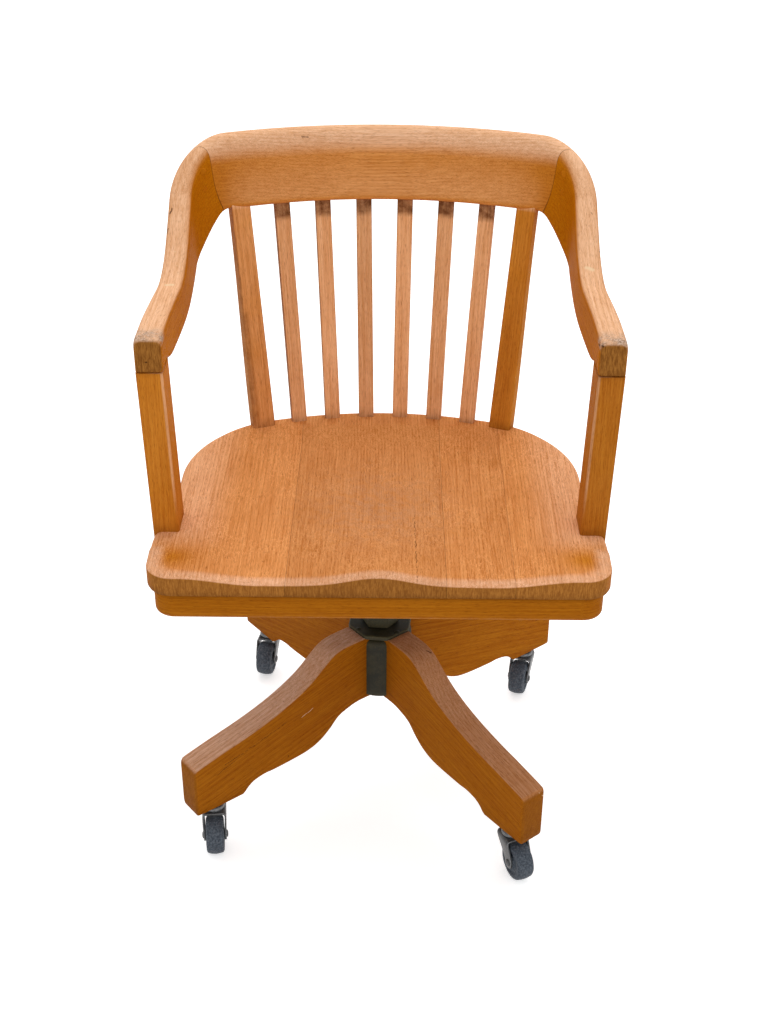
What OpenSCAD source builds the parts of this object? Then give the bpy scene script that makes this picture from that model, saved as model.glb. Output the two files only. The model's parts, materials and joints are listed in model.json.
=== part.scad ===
// Oak swivel and tilt desk chair with a horseshoe arm bow, a saddled seat and a four leg pedestal on casters.
// Millimetres. The origin is on the floor under the swivel axis. The chair faces -Y and +Z is up.

/* [Seat] */
// Height of the seat's flat rim above the floor
seat_height = 455; // [440:1:470]
// Thickness of the seat boards at the rim
seat_thickness = 27; // [24:1:32]
// Half of the seat's width where it is widest
seat_half_width = 267.5; // [262:0.5:280]
// Half of the seat's width at the waist behind the arm posts
seat_waist_half_width = 252; // [246:1:260]
// Distance from the swivel axis to the seat's front edge
seat_front = 238; // [225:1:250]
// Distance from the swivel axis to the seat's back edge
seat_back = 180; // [176:1:186]
// Rounding of the seat's front corners, seen from above
seat_corner_radius = 32; // [20:1:40]
// Rounding of the seat's back corners, seen from above
seat_back_corner_radius = 137; // [110:1:145]
// Half of the width across the seat's back corners
seat_back_half_width = 184; // [176:1:190]
// Rounding of the seat's sides, seen from above
seat_side_radius = 250; // [200:10:300]
// Rounding of the seat's back edge, seen from above
seat_back_radius = 451; // [420:1:480]
// Distance from the swivel axis back to the seat's waist
seat_waist = 66; // [60:1:80]
// Width of the slope at the sides of the dish
dish_shoulder = 90; // [60:5:110]
// Width of the slope at the back of the dish
dish_back_shoulder = 70; // [50:5:90]
// Width of the seat's flat rim at the sides, at its narrowest
rim_width = 68; // [50:1:80]
// Width of the seat's flat rim at the back
back_rim_width = 41; // [35:1:50]
// Depth of the dish worked into the seat
seat_dish = 13; // [6:0.5:14]
// Depth of the two thigh scoops at the front edge
thigh_scoop = 8.5; // [4:0.5:11]
// Height of the ridge between the thigh scoops
front_ridge = 9.5; // [4:0.5:12]
// Places of the glue lines between the seat boards, across the seat
board_seams = [-106, 77, 155];

/* [Apron] */
// Height of the apron under the seat
apron_height = 33; // [26:1:36]
// Thickness of the apron boards
apron_thickness = 22; // [18:1:26]
// Setback of the apron from the seat's edge
apron_inset = 7; // [4:1:12]

/* [Back] */
// Number of narrow slats between the two back stiles
slat_count = 6; // [4:1:7]
// Width of a slat
slat_width = 20; // [16:1:24]
// Thickness of a slat
slat_thickness = 12; // [10:1:14]
// Width of a back stile
stile_width = 25; // [22:1:28]
// Depth of a back stile
stile_depth = 17; // [15:1:19]
// Angle between neighbouring slats at the seat, about their common centre
slat_step = 6.43; // [6:0.01:6.8]
// Radius of the curve that the slats' front faces follow at the seat
slat_radius = 404; // [395:1:410]
// Distance from the swivel axis to the middle slats' front faces at the seat
slat_front = 164; // [158:1:166]
// Angle between neighbouring slats under the crest rail
slat_top_step = 6.95; // [6.6:0.01:7.2]
// Radius of the curve that the slats' front faces follow under the crest rail
slat_top_radius = 440; // [430:1:450]
// How far the back leans rearward between the seat and the crest rail
back_lean = 66; // [60:1:70]
// How far the slats' tenons reach into the seat and into the crest rail
tenon = 14; // [8:1:16]

/* [Crest rail and arms] */
// Height of the crest rail's crown above the floor
crest_top = 827; // [820:1:840]
// Height of the crest rail
crest_height = 88.5; // [80:0.5:92]
// Height of the arms' flat front part above the floor
arm_top = 700; // [690:1:710]
// Height of the arms' underside where it sits on the posts
arm_underside = 657.5; // [650:0.5:664]
// Width of an arm at its front end
arm_width = 31.5; // [28:0.5:34]
// How much narrower an arm is where it turns inward
arm_taper = 2; // [0:0.5:3]
// Half of the overall width across the arms' front ends
arm_half_width = 273.5; // [270:0.5:276]
// Half of the overall width where the arms turn inward
turn_half_width = 266.5; // [262:0.5:270]
// Distance from the swivel axis to the arms' front ends
arm_front = 133.5; // [128:0.5:140]
// Distance from the swivel axis to where the arms start to turn inward
arm_turn = 147.3; // [140:0.1:150]
// How far back from an arm's front end the arm starts to rise to the crest rail, along the bow
rise_start = 152; // [140:1:180]
// Length of the rise to the crest rail, along the bow
rise_length = 241.5; // [220:0.5:260]
// How far back from an arm's front end the underside starts to rise, along the bow
under_rise_start = 120; // [110:1:130]
// Length of the underside's rise, along the bow
under_rise_length = 233; // [220:1:240]
// How much lower the arms' underside is behind the posts
under_sag = 14; // [8:1:18]
// Radius of the bow's corners, on the outside
corner_radius = 91; // [86:1:96]
// Radius of the bow's back, on the outside
crest_radius = 519; // [510:1:530]
// Distance from the swivel axis back to the joints between the arms and the crest rail
bow_joint = 191; // [189:0.5:192]
// Diameter of the dowels in the joints of the bow
dowel_d = 8; // [6:1:9]
// Length of the dowels in the joints of the bow
dowel_length = 22; // [16:1:24]

/* [Arm posts] */
// Width of an arm post, seen from the front
post_width = 31; // [28:1:32]
// Depth of an arm post
post_depth = 46; // [40:1:48]
// Setback of the posts from the seat's sides
post_inset = 0; // [0:0.5:3]
// Distance from the swivel axis to the posts' front faces at the seat
post_front = 140; // [134:1:146]

/* [Tilt control] */
// Distance from the seat's underside down to the tilt shaft
shaft_drop = 30; // [28:1:34]
// Diameter of the tilt shaft
shaft_d = 16; // [14:1:18]
// Length of the housing's shaft barrel
barrel_length = 120; // [100:1:130]
// Outer diameter of the housing's shaft barrel
barrel_d = 32; // [28:1:34]
// Thickness of the seat irons
iron_thickness = 5; // [4:0.5:6]
// Width of a seat iron
iron_width = 32; // [28:1:36]
// Reach of the seat irons in front of the tilt shaft
iron_front = 150; // [120:1:170]
// Reach of the seat irons behind the tilt shaft
iron_back = 110; // [90:1:120]
// Distance from the tilt shaft forward to the tension bolt
bolt_offset = 62; // [58:1:64]
// Diameter of the tension bolt
bolt_d = 10; // [8:1:11]
// Length of the tension spring at rest
spring_length = 50; // [46:1:52]
// Outer diameter of the tension spring
spring_d = 34; // [30:1:36]
// Diameter of the tension spring's wire
spring_wire = 4.5; // [3.5:0.5:5]
// Number of the tension spring's turns
spring_turns = 5.5; // [5:0.5:6]
// Diameter of the tension knob
knob_d = 46; // [40:1:50]
// Height of the tension knob
knob_height = 20; // [16:1:20]

/* [Pedestal] */
// Diameter of the height spindle
spindle_d = 25.4; // [22:0.1:27]
// Width across flats of the height nut
nut_flats = 44; // [40:1:48]
// Height of the height nut
nut_height = 20; // [16:1:24]
// Radius of the iron hub's faces between the legs
hub_radius = 42; // [40:0.5:44]
// Radius of the hub's core, where the legs' inner ends stop
hub_core_radius = 26; // [24:0.5:28]
// Height of the hub's lower end above the floor
hub_bottom = 137; // [130:1:142]
// Thickness of the hub's cap over the legs
cap_thickness = 4.5; // [4:0.5:6]
// Distance from the swivel axis to the edges of the cap over the legs
cap_reach = 45; // [44:0.5:50]
// Turn of the pedestal against the seat in the rest pose
base_turn = -6.3; // [-45:0.1:45]
// Thickness of a leg
leg_thickness = 36; // [32:1:40]
// Distance from the swivel axis to the legs' outer ends
leg_reach = 309; // [300:1:330]
// Height of the legs' top at the hub above the floor
leg_top = 230; // [226:1:236]
// Height of the legs' underside at the casters above the floor
foot_height = 68; // [66:1:74]

/* [Casters] */
// Distance from the swivel axis to the caster stems
caster_reach = 274; // [268:1:280]
// Diameter of a caster wheel
wheel_d = 50.8; // [48:0.1:52]
// Width of a caster wheel
wheel_width = 22; // [20:1:24]
// Distance from a caster's stem to its axle
caster_trail = 19.6; // [16:0.1:22]
// Diameter of a caster's stem
stem_d = 9; // [8:0.5:10]
// Diameter of a caster's axle
axle_d = 6; // [5:0.5:8]
// Thickness of the caster fork's steel
fork_steel = 2.5; // [2:0.5:3]
// Directions in which the casters trail in the rest pose, from +X
caster_turns = [-84, -66, -100, -108];

/* [Fits] */
// Radial clearance of the running fits
running_gap = 0.05; // [0.02:0.01:0.1]
// Clearance between faces that pass each other
face_gap = 0.3; // [0.2:0.05:0.5]
// Clearance round glued tenons and dowels
glue_gap = 0.1; // [0.05:0.05:0.2]

/* [Hidden] */
$fn = 48;

seat_underside = seat_height - seat_thickness;
crest_bottom = crest_top - crest_height;
post_half_width = seat_half_width - post_inset;
apron_underside = seat_underside - apron_height;
shaft_z = seat_underside - shaft_drop;
iron_underside = seat_underside - iron_thickness;
iron_inner = barrel_length / 2 + 2;
iron_outer = iron_inner + iron_width;
lug_radius = shaft_d / 2 + 6;
crossbar_thickness = 6;
crossbar_underside = iron_underside - crossbar_thickness;
boss_d = spindle_d + 20;
arm_plate = 14;
arm_plate_top = shaft_z - 12;
arm_plate_underside = arm_plate_top - arm_plate;
arm_plate_width = spring_d + 4;
swing = bolt_offset * 0.13;
washer_thickness = 4;
washer_top = arm_plate_underside - spring_length;
knob_top = washer_top - washer_thickness;
bolt_bottom = knob_top - knob_height - 10;
cap_top = leg_top + cap_thickness;
nut_top = cap_top + nut_height;
spindle_top = arm_plate_underside - 8;
spindle_bottom = hub_bottom + 24;
boss_bottom = spindle_top - 34;
wheel_r = wheel_d / 2;
crown_underside = wheel_d + 3.2;
crown_top = crown_underside + fork_steel;
fork_inside = wheel_width / 2 + 1.2;
fork_outside = fork_inside + fork_steel;
flange_thickness = 1.5;
socket_length = 42;
socket_wall = 1.2;
leg_turns = [128.4, 218.4, 38.4, 308.4];
leg_angles = [225, 315, 135, 45];

oak = "#c07a35";
oak_light = "#cf8d45";
oak_dark = "#a8672a";
iron = "#2b2d28";
steel = "#6f706c";
rubber = "#33383c";

// Curves and outlines

function unit(v) = v / norm(v);
function blend(a, b, t) = a + (b - a) * t;
// Eased step from 0 to 1
function ease(t) = let (c = min(max(t, 0), 1)) c * c * (3 - 2 * c);
// Left normal of a direction in the plane
function left_of(v) = [-v[1], v[0]];
function plane(v) = [v[0], v[1]];

// A corner [x, y, radius] between its neighbours, as the points of its arc
function corner_arc(before, at, after, steps) =
    let (
        p = plane(at),
        u = unit(plane(before) - p),
        v = unit(plane(after) - p),
        half = acos(max(min(u * v, 1), -1)) / 2,
        centre = p + unit(u + v) * at[2] / sin(half),
        start = p + u * at[2] / tan(half) - centre,
        sweep = 180 - 2 * half,
        turn = cross(u, v) > 0 ? -1 : 1
    )
    [for (i = [0:steps])
        let (a = turn * sweep * i / steps)
        centre + [start[0] * cos(a) - start[1] * sin(a), start[0] * sin(a) + start[1] * cos(a)]];

// A closed outline from corners [x, y, radius]
function rounded_outline(corners, steps = 8) =
    let (n = len(corners))
    [for (i = [0:n - 1])
        for (p = corner_arc(corners[(i + n - 1) % n], corners[i], corners[(i + 1) % n], steps)) p];

// The same corners moved inward by a distance, for an outline that runs anticlockwise
function inset_corners(corners, distance) =
    let (n = len(corners))
    [for (i = [0:n - 1])
        let (
            p = plane(corners[i]),
            e1 = unit(p - plane(corners[(i + n - 1) % n])),
            e2 = unit(plane(corners[(i + 1) % n]) - p),
            n1 = left_of(e1),
            n2 = left_of(e2),
            moved = p + distance * (n1 + n2) / (1 + n1 * n2),
            inner = cross(e1, e2) > 0
        )
        [moved[0], moved[1], max(corners[i][2] + (inner ? -distance : distance), 2)]];

// Seat

// Right half of the seat's outline, from the front corner to the back
seat_right_corners = [
    [seat_half_width - 2, -seat_front, seat_corner_radius],
    [seat_half_width, -post_front - 10, seat_side_radius],
    [seat_waist_half_width, post_depth - seat_waist, seat_side_radius],
    [seat_waist_half_width, seat_waist, 165],
    [seat_back_half_width, seat_back - 33.4, seat_back_corner_radius]
];
seat_corners = concat(
    seat_right_corners,
    [[0, seat_back + 22.6, seat_back_radius]],
    [for (i = [len(seat_right_corners) - 1:-1:0])
        [-seat_right_corners[i][0], seat_right_corners[i][1], seat_right_corners[i][2]]]
);

// How far in from the middle the dish reaches at a given depth of the seat
function dish_half_width(y) = seat_half_width - rim_width - 0.125 * y;
dish_back = seat_back - back_rim_width;

function seat_surface(x, y) =
    let (
        across = ease((dish_half_width(y) - abs(x)) / dish_shoulder),
        along = ease((dish_back - y) / dish_back_shoulder),
        forward = ease((-40 - y) / (seat_front - 40)),
        ridge = ease((-80 - y) / (seat_front - 80)) * exp(-pow(x / 48, 2))
    )
    seat_height - blend(seat_dish, thigh_scoop, forward) * across * along + front_ridge * ridge;

seat_steps_deep = 22;
seat_end = seat_back + 4;

// A slab between two places across the seat, with the worked surface as its top
module seat_slab(x0, x1) {
    across = ceil((x1 - x0) / 18);
    deep = seat_steps_deep;
    row = deep + 1;
    function px(i) = blend(x0, x1, i / across);
    function py(j) = blend(-seat_front - 2, seat_end, j / deep);
    top = [for (i = [0:across]) for (j = [0:deep]) [px(i), py(j), seat_surface(px(i), py(j))]];
    edge = [for (i = [0:across]) i * row, for (j = [1:deep]) across * row + j,
        for (i = [across - 1:-1:0]) i * row + deep, for (j = [deep - 1:-1:1]) j];
    bottom = [for (e = edge) [top[e][0], top[e][1], seat_underside]];
    n = len(top);
    m = len(edge);
    faces = concat(
        [for (i = [0:across - 1]) for (j = [0:deep - 1]) [i * row + j, i * row + j + 1, (i + 1) * row + j]],
        [for (i = [0:across - 1]) for (j = [0:deep - 1])
            [(i + 1) * row + j, i * row + j + 1, (i + 1) * row + j + 1]],
        [for (k = [0:m - 1]) [n + k, edge[k], edge[(k + 1) % m]]],
        [for (k = [0:m - 1]) [n + k, edge[(k + 1) % m], n + (k + 1) % m]],
        [for (k = [0:m - 1]) [n + m, n + k, n + (k + 1) % m]]
    );
    polyhedron(concat(top, bottom, [[(x0 + x1) / 2, 0, seat_underside]]), faces);
}

seam_places = concat([-seat_half_width - 5], board_seams, [seat_half_width + 5]);

module seat_board(index) {
    x0 = seam_places[index];
    x1 = seam_places[index + 1];
    color(index == 2 ? oak_light : oak)
    difference() {
        intersection() {
            seat_slab(x0, x1);
            translate([0, 0, seat_underside - 1])
                linear_extrude(seat_thickness + front_ridge + 4) polygon(rounded_outline(seat_corners));
        }
        for (i = [-1:slat_count]) slat(i, glue_gap);
        for (side = [-1, 1]) post_notch(side);
        for (p = concat(apron_screw_places, iron_screw_places)) if (p[0] > x0 - 4 && p[0] < x1 + 4)
            translate([p[0], p[1], seat_underside - 1])
                cylinder(h = screw_bite + 1.5, d = screw_shank_d + 2 * glue_gap);
    }
}

// Apron

apron_outer = rounded_outline(inset_corners(seat_corners, apron_inset));
apron_inner = rounded_outline(inset_corners(seat_corners, apron_inset + apron_thickness));
// Where the front apron ends and the side aprons start
apron_front_joint = -seat_front + 52;
// Where the side aprons end and the back apron starts
apron_back_joint = seat_back - 76;

module apron_ring() {
    translate([0, 0, apron_underside]) linear_extrude(apron_height) difference() {
        polygon(apron_outer);
        polygon(apron_inner);
    }
}

apron_screw_places = [
    [-150, -seat_front + apron_inset + 11], [0, -seat_front + apron_inset + 11],
    [150, -seat_front + apron_inset + 11],
    [-60, seat_back - apron_inset - 14], [60, seat_back - apron_inset - 14],
    [-seat_waist_half_width + apron_inset + 11, 40], [seat_waist_half_width - apron_inset - 11, 40],
    [-seat_half_width + apron_inset + 14, -160], [seat_half_width - apron_inset - 14, -160]
];
screw_head_d = 9;
screw_shank_d = 4.5;
screw_recess = 14;
screw_bite = 10;

module apron_piece(y0, y1, x0, x1) {
    color(oak_dark) difference() {
        intersection() {
            apron_ring();
            translate([x0, y0, apron_underside - 1]) cube([x1 - x0, y1 - y0, apron_height + 2]);
        }
        for (p = apron_screw_places) translate([p[0], p[1], apron_underside - 1]) {
            cylinder(h = screw_recess + 1, d = screw_head_d + 1);
            cylinder(h = apron_height + 2, d = screw_shank_d + 2 * glue_gap);
        }
    }
}

module wood_screw(length) {
    cylinder(h = length, d = screw_shank_d);
    translate([0, 0, -3]) cylinder(h = 3, d = screw_head_d);
}

module apron_screws() {
    color(steel) for (p = apron_screw_places)
        translate([p[0], p[1], apron_underside + screw_recess])
            wood_screw(apron_height - screw_recess + screw_bite);
}

// Back slats and stiles

// A point on a slat's front face: on the lower curve at the seat, or on the upper one at the crest rail
function slat_angle(i, step) = (i - (slat_count - 1) / 2) * step;
function slat_foot(i) =
    let (a = slat_angle(i, slat_step))
    [slat_radius * sin(a), slat_front - slat_radius + slat_radius * cos(a), seat_height];
function slat_head(i) =
    let (a = slat_angle(i, slat_top_step))
    [slat_top_radius * sin(a), slat_front + back_lean - slat_top_radius + slat_top_radius * cos(a), crest_bottom];

// Number i counts from the left; -1 and slat_count are the two stiles
module slat(i, grow = 0) {
    is_stile = i < 0 || i >= slat_count;
    w = (is_stile ? stile_width : slat_width) + 2 * grow;
    t = (is_stile ? stile_depth : slat_thickness) + 2 * grow;
    foot = slat_foot(i);
    head = slat_head(i);
    turn = slat_angle(i, (slat_step + slat_top_step) / 2);
    d = head - foot;
    sideways = d[0] * cos(turn) - d[1] * sin(turn);
    rearward = d[0] * sin(turn) + d[1] * cos(turn);
    lean = atan2(rearward, d[2]);
    spread = atan2(sideways, norm([rearward, d[2]]));
    below = tenon / cos(lean);
    translate(foot) rotate([0, 0, -turn]) rotate([-lean, 0, 0]) rotate([0, spread, 0])
        translate([-w / 2, -grow, -below - grow])
            cube([w, t, norm(d) + 2 * (below + grow)]);
}

module back_slat(i) { color(oak_light) slat(i); }
module back_stile(i) { color(oak) slat(i); }

// Bow of the arms and the crest rail

// The bow's outer edge is measured along u, from an arm's front end to the middle of the crest rail
side_length = arm_front + arm_turn;
corner_centre = turn_half_width - corner_radius;
corner_start = asin(corner_centre / (crest_radius - corner_radius));
corner_length = (90 - corner_start) * PI / 180 * corner_radius;
bow_length = side_length + corner_length + corner_start * PI / 180 * crest_radius;
crest_centre_y = arm_turn - (crest_radius - corner_radius) * cos(corner_start);

// Share of the arms' narrowing between the posts and the turn
function narrowing(u) = ease((u - 50) / 180);

// A point of the right half of the bow, moved inward
function bow_point(u, inset) =
    u < side_length ? [blend(arm_half_width, turn_half_width, narrowing(u)) - inset, -arm_front + u]
    : u < side_length + corner_length
        ? let (a = 90 - (u - side_length) / corner_radius * 180 / PI)
            [corner_centre + (corner_radius - inset) * sin(a), arm_turn + (corner_radius - inset) * cos(a)]
        : let (a = (bow_length - u) / crest_radius * 180 / PI)
            [(crest_radius - inset) * sin(a), crest_centre_y + (crest_radius - inset) * cos(a)];

under_sag_length = 90;
post_seat_length = post_depth + 6;

function bow_top(u) = blend(arm_top, crest_top, ease((u - rise_start) / rise_length));
function bow_underside(u) =
    let (low = arm_underside - under_sag * ease((u - post_seat_length) / under_sag_length))
    blend(low, crest_bottom, ease(pow(max(u - under_rise_start, 0) / under_rise_length, 1.73)));

// Section points: inset from the outer edge, share of the height, drop below that height
arm_section = [
    [0, 0, 0], [0, 0.5, 0], [0, 1, 6], [1.8, 1, 1.8], [6, 1, 0], [arm_width - 6, 1, 0],
    [arm_width - 1.8, 1, 1.8], [arm_width, 1, 6], [arm_width, 0.6, 0], [arm_width, 0.3, 0],
    [arm_width, 0, -3], [arm_width - 3, 0, 0]
];
crest_section = [
    [18, 0, 0], [7, 0.56, 0], [0, 1, 12], [2, 1, 6], [9, 1, 1.5], [16, 1, 0],
    [24, 1, 4], [29, 1, 14], [31.5, 1, 26], [38.5, 0.42, 0],
    [52.5, 0, -4], [49, 0, 0]
];

function bow_ring(u, mirrored) =
    let (
        outer_change = ease((u - rise_start - 52) / 180),
        inner_change = ease((u - under_rise_start - 109) / 132),
        zt = bow_top(u),
        zb = bow_underside(u)
    )
    [for (k = [0:len(arm_section) - 1])
        let (
            s = blend(arm_section[k], crest_section[k], k < 8 ? outer_change : inner_change),
            slim = k > 4 ? arm_taper * narrowing(u) * (1 - (k < 8 ? outer_change : inner_change)) : 0,
            p = bow_point(u, s[0] - slim)
        )
        [mirrored ? -p[0] : p[0], p[1], blend(zb, zt, s[1]) - s[2]]];

// A solid through a list of rings with equal numbers of points, closed by a fan at each end
module skin(rings) {
    n = len(rings[0]);
    m = len(rings);
    ends = [for (r = [rings[0], rings[m - 1]]) [for (axis = [0:2]) [for (p = r) p[axis]] * [for (p = r) 1 / n]]];
    side_a = [for (i = [0:m - 2]) for (k = [0:n - 1]) [i * n + k, i * n + (k + 1) % n, (i + 1) * n + k]];
    side_b = [for (i = [0:m - 2]) for (k = [0:n - 1])
        [(i + 1) * n + k, i * n + (k + 1) % n, (i + 1) * n + (k + 1) % n]];
    first_end = [for (k = [0:n - 1]) [(k + 1) % n, k, m * n]];
    last_end = [for (k = [0:n - 1]) [(m - 1) * n + k, (m - 1) * n + (k + 1) % n, m * n + 1]];
    polyhedron(
        concat([for (r = rings) for (p = r) p], ends),
        concat(side_a, side_b, first_end, last_end)
    );
}

arm_rings = 30;
crest_rings = 18;
// The arms' rings end beyond the joint and the crest rail's start before it, and the joint's plane cuts both
arm_ring_end = side_length + 92;
crest_ring_start = side_length + 40;

function ring_places(from, to, count) = [for (i = [0:count]) blend(from, to, i / count)];

module behind_joint() {
    translate([-300, bow_joint, crest_bottom - 100]) cube([600, 200, crest_height + 200]);
}

module before_joint() {
    translate([-300, bow_joint - 200, crest_bottom - 100]) cube([600, 200, crest_height + 200]);
}

module bow_dowel_pair(side, grow = 0) {
    for (share = [0.31, 0.57])
        translate([side * (corner_centre + 51.5), bow_joint, crest_bottom + share * crest_height])
            rotate([90, 0, 0]) cylinder(h = dowel_length + 2 * grow, d = dowel_d + 2 * grow, center = true);
}

module post_tenon(side, grow = 0) {
    translate([side * (arm_half_width - arm_width / 2), -arm_front + post_depth / 2, arm_underside - 16 - grow])
        cylinder(h = 36 + 2 * grow, d = dowel_d + 4 + 2 * grow);
}

module bow_dowels() {
    color(oak_light) for (side = [-1, 1]) {
        bow_dowel_pair(side);
        post_tenon(side);
    }
}

module arm(side) {
    rings = [for (u = ring_places(0, arm_ring_end, arm_rings)) bow_ring(u, false)];
    color(oak_light) mirror([side < 0 ? 1 : 0, 0, 0]) difference() {
        skin(rings);
        behind_joint();
        bow_dowel_pair(1, glue_gap);
        post_tenon(1, glue_gap);
    }
}

module crest_rail() {
    places = ring_places(crest_ring_start, bow_length, crest_rings);
    right = [for (u = places) bow_ring(u, false)];
    left = [for (i = [crest_rings - 1:-1:0]) bow_ring(places[i], true)];
    color(oak_light) difference() {
        skin(concat(right, left));
        before_joint();
        for (i = [-1:slat_count]) slat(i, glue_gap);
        for (side = [-1, 1]) bow_dowel_pair(side, glue_gap);
    }
}

// Arm posts

// A post's corners at a height, on the right side
function post_corners(z) =
    let (
        t = (z - seat_height) / (arm_underside - seat_height),
        x1 = blend(post_half_width, arm_half_width, t),
        y0 = blend(-post_front, -arm_front, t)
    )
    [[x1 - post_width, y0], [x1, y0], [x1, y0 + post_depth], [x1 - post_width, y0 + post_depth]];

module post_block(side, z0, z1, outward = 0) {
    low = post_corners(z0);
    high = post_corners(z1);
    out = [0, outward, outward, 0];
    mirror([side < 0 ? 1 : 0, 0, 0])
        polyhedron(
            concat([for (i = [0:3]) [low[i][0] + out[i], low[i][1], z0]],
                [for (i = [0:3]) [high[i][0] + out[i], high[i][1], z1]]),
            [[0, 1, 2, 3], [7, 6, 5, 4], [0, 4, 5, 1], [1, 5, 6, 2], [2, 6, 7, 3], [3, 7, 4, 0]]
        );
}

// The notch in the seat's side is open to the outside
module post_notch(side) {
    post_block(side, seat_underside - 5, seat_height + 15, 20);
}

module arm_post(side) {
    color(oak) difference() {
        post_block(side, seat_underside, arm_underside);
        post_tenon(side, glue_gap);
    }
}

// Seat irons and tilt control

iron_screw_places = [for (side = [-1, 1]) for (y = [-iron_front + 14, -30, 34, iron_back - 14])
    [side * (iron_inner + iron_width / 2), y]];

module seat_iron(side) {
    color(iron) mirror([side < 0 ? 1 : 0, 0, 0]) difference() {
        union() {
            translate([iron_inner, -iron_front, iron_underside])
                cube([iron_width, iron_front + iron_back, iron_thickness]);
            translate([iron_inner, 0, 0]) rotate([90, 0, 90]) linear_extrude(iron_thickness) union() {
                translate([0, shaft_z]) circle(r = lug_radius);
                translate([-lug_radius, shaft_z]) square([2 * lug_radius, iron_underside + 1 - shaft_z]);
            }
        }
        translate([iron_inner - 1, 0, shaft_z]) rotate([0, 90, 0])
            cylinder(h = iron_thickness + 2, d = shaft_d + 2 * running_gap);
        for (p = iron_screw_places) if (p[0] > 0)
            translate([p[0], p[1], iron_underside - 1])
                cylinder(h = iron_thickness + 2, d = screw_shank_d + 2 * glue_gap);
    }
}

module seat_iron_screws() {
    color(steel) for (p = iron_screw_places)
        translate([p[0], p[1], iron_underside]) wood_screw(iron_thickness + screw_bite);
}

module iron_crossbar() {
    color(iron) difference() {
        translate([-iron_outer, -bolt_offset - 15, crossbar_underside])
            cube([2 * iron_outer, 30, crossbar_thickness]);
        translate([0, -bolt_offset, crossbar_underside - 1])
            cylinder(h = crossbar_thickness + 2, d = bolt_d + 2 * glue_gap);
    }
}

module tilt_shaft() {
    reach = iron_inner + iron_thickness + face_gap;
    color(steel) translate([0, 0, shaft_z]) rotate([0, 90, 0]) {
        cylinder(h = 2 * reach, d = shaft_d, center = true);
        for (side = [-1, 1]) translate([0, 0, side * (reach + 2)])
            cylinder(h = 4, d = shaft_d + 8, center = true);
    }
}

module tilt_housing() {
    color(iron) difference() {
        union() {
            translate([0, 0, boss_bottom]) cylinder(h = arm_plate_top - boss_bottom, d = boss_d);
            translate([-20, -18, arm_plate_top - 1]) cube([40, 36, shaft_z - arm_plate_top + 1]);
            translate([0, 0, shaft_z]) rotate([0, 90, 0]) cylinder(h = barrel_length, d = barrel_d, center = true);
            translate([-arm_plate_width / 2, -bolt_offset - 32, arm_plate_underside])
                cube([arm_plate_width, bolt_offset + 32, arm_plate]);
        }
        translate([0, 0, boss_bottom - 1])
            cylinder(h = spindle_top + face_gap - boss_bottom + 1, d = spindle_d + 2 * running_gap);
        translate([0, 0, shaft_z]) rotate([0, 90, 0])
            cylinder(h = barrel_length + 2, d = shaft_d + 2 * running_gap, center = true);
        // Slot in which the tension bolt swings
        for (y = [-bolt_offset, -bolt_offset - swing - 4])
            translate([0, y, arm_plate_underside - 1]) cylinder(h = arm_plate + 2, d = bolt_d + 5);
        translate([-bolt_d / 2 - 2.5, -bolt_offset - swing - 4, arm_plate_underside - 1])
            cube([bolt_d + 5, swing + 4, arm_plate + 2]);
    }
}

module tension_bolt() {
    head = 18;
    color(steel) translate([0, -bolt_offset, 0]) {
        translate([0, 0, bolt_bottom]) cylinder(h = iron_underside - bolt_bottom + 0.1, d = bolt_d);
        translate([-head / 2, -head / 2, iron_underside]) cube([head, head, iron_thickness - face_gap]);
    }
}

// Height of the spring's wire axis after a number of turns: each end has one closed turn
function spring_rise(t) =
    let (
        closed = spring_wire + 0.6,
        total = spring_length - spring_wire,
        pitch = (total - 2 * closed) / (spring_turns - 2)
    )
    t < 1 ? closed * t
    : t < spring_turns - 1 ? closed + pitch * (t - 1)
    : closed + pitch * (spring_turns - 2) + closed * (t - spring_turns + 1);

spring_sides = 6;
spring_rings_per_turn = 12;
spring_mean_r = (spring_d - spring_wire) / 2;
spring_axis = [for (i = [0:spring_turns * spring_rings_per_turn])
    let (t = i / spring_rings_per_turn)
    [spring_mean_r * cos(360 * t), spring_mean_r * sin(360 * t), spring_wire / 2 + spring_rise(t)]];
// Least gap between neighbouring turns
spring_gap = min([for (i = [0:len(spring_axis) - 1 - spring_rings_per_turn])
    norm(spring_axis[i + spring_rings_per_turn] - spring_axis[i])]) - spring_wire;
echo(spring_gap = spring_gap);

module tension_spring() {
    rings = [for (i = [0:len(spring_axis) - 1])
        let (
            p = spring_axis[i],
            a = 360 * i / spring_rings_per_turn,
            out = [cos(a), sin(a), 0]
        )
        [for (k = [0:spring_sides - 1])
            let (b = 360 * k / spring_sides)
            p + spring_wire / 2 * (out * cos(b) + [0, 0, 1] * sin(b))]];
    color(steel) translate([0, -bolt_offset, washer_top]) skin([for (r = rings) [for (k = [spring_sides - 1:-1:0]) r[k]]]);
}

module spring_washer() {
    color(steel) translate([0, -bolt_offset, washer_top - washer_thickness]) difference() {
        cylinder(h = washer_thickness - face_gap, d = spring_d + 4);
        translate([0, 0, -1]) cylinder(h = washer_thickness + 2, d = bolt_d + 2 * running_gap);
    }
}

module tension_knob() {
    lobes = 6;
    color(iron) translate([0, -bolt_offset, knob_top - knob_height]) difference() {
        cylinder(h = knob_height - face_gap, d = knob_d);
        for (k = [0:lobes - 1]) rotate([0, 0, 360 * k / lobes])
            translate([knob_d / 2 + 5, 0, -1]) cylinder(h = knob_height + 2, d = 16);
        translate([0, 0, -1]) cylinder(h = knob_height + 2, d = bolt_d + 2 * running_gap);
    }
}

// Pedestal

module spindle() {
    color(steel) translate([0, 0, spindle_bottom]) cylinder(h = spindle_top - spindle_bottom, d = spindle_d);
}

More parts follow.
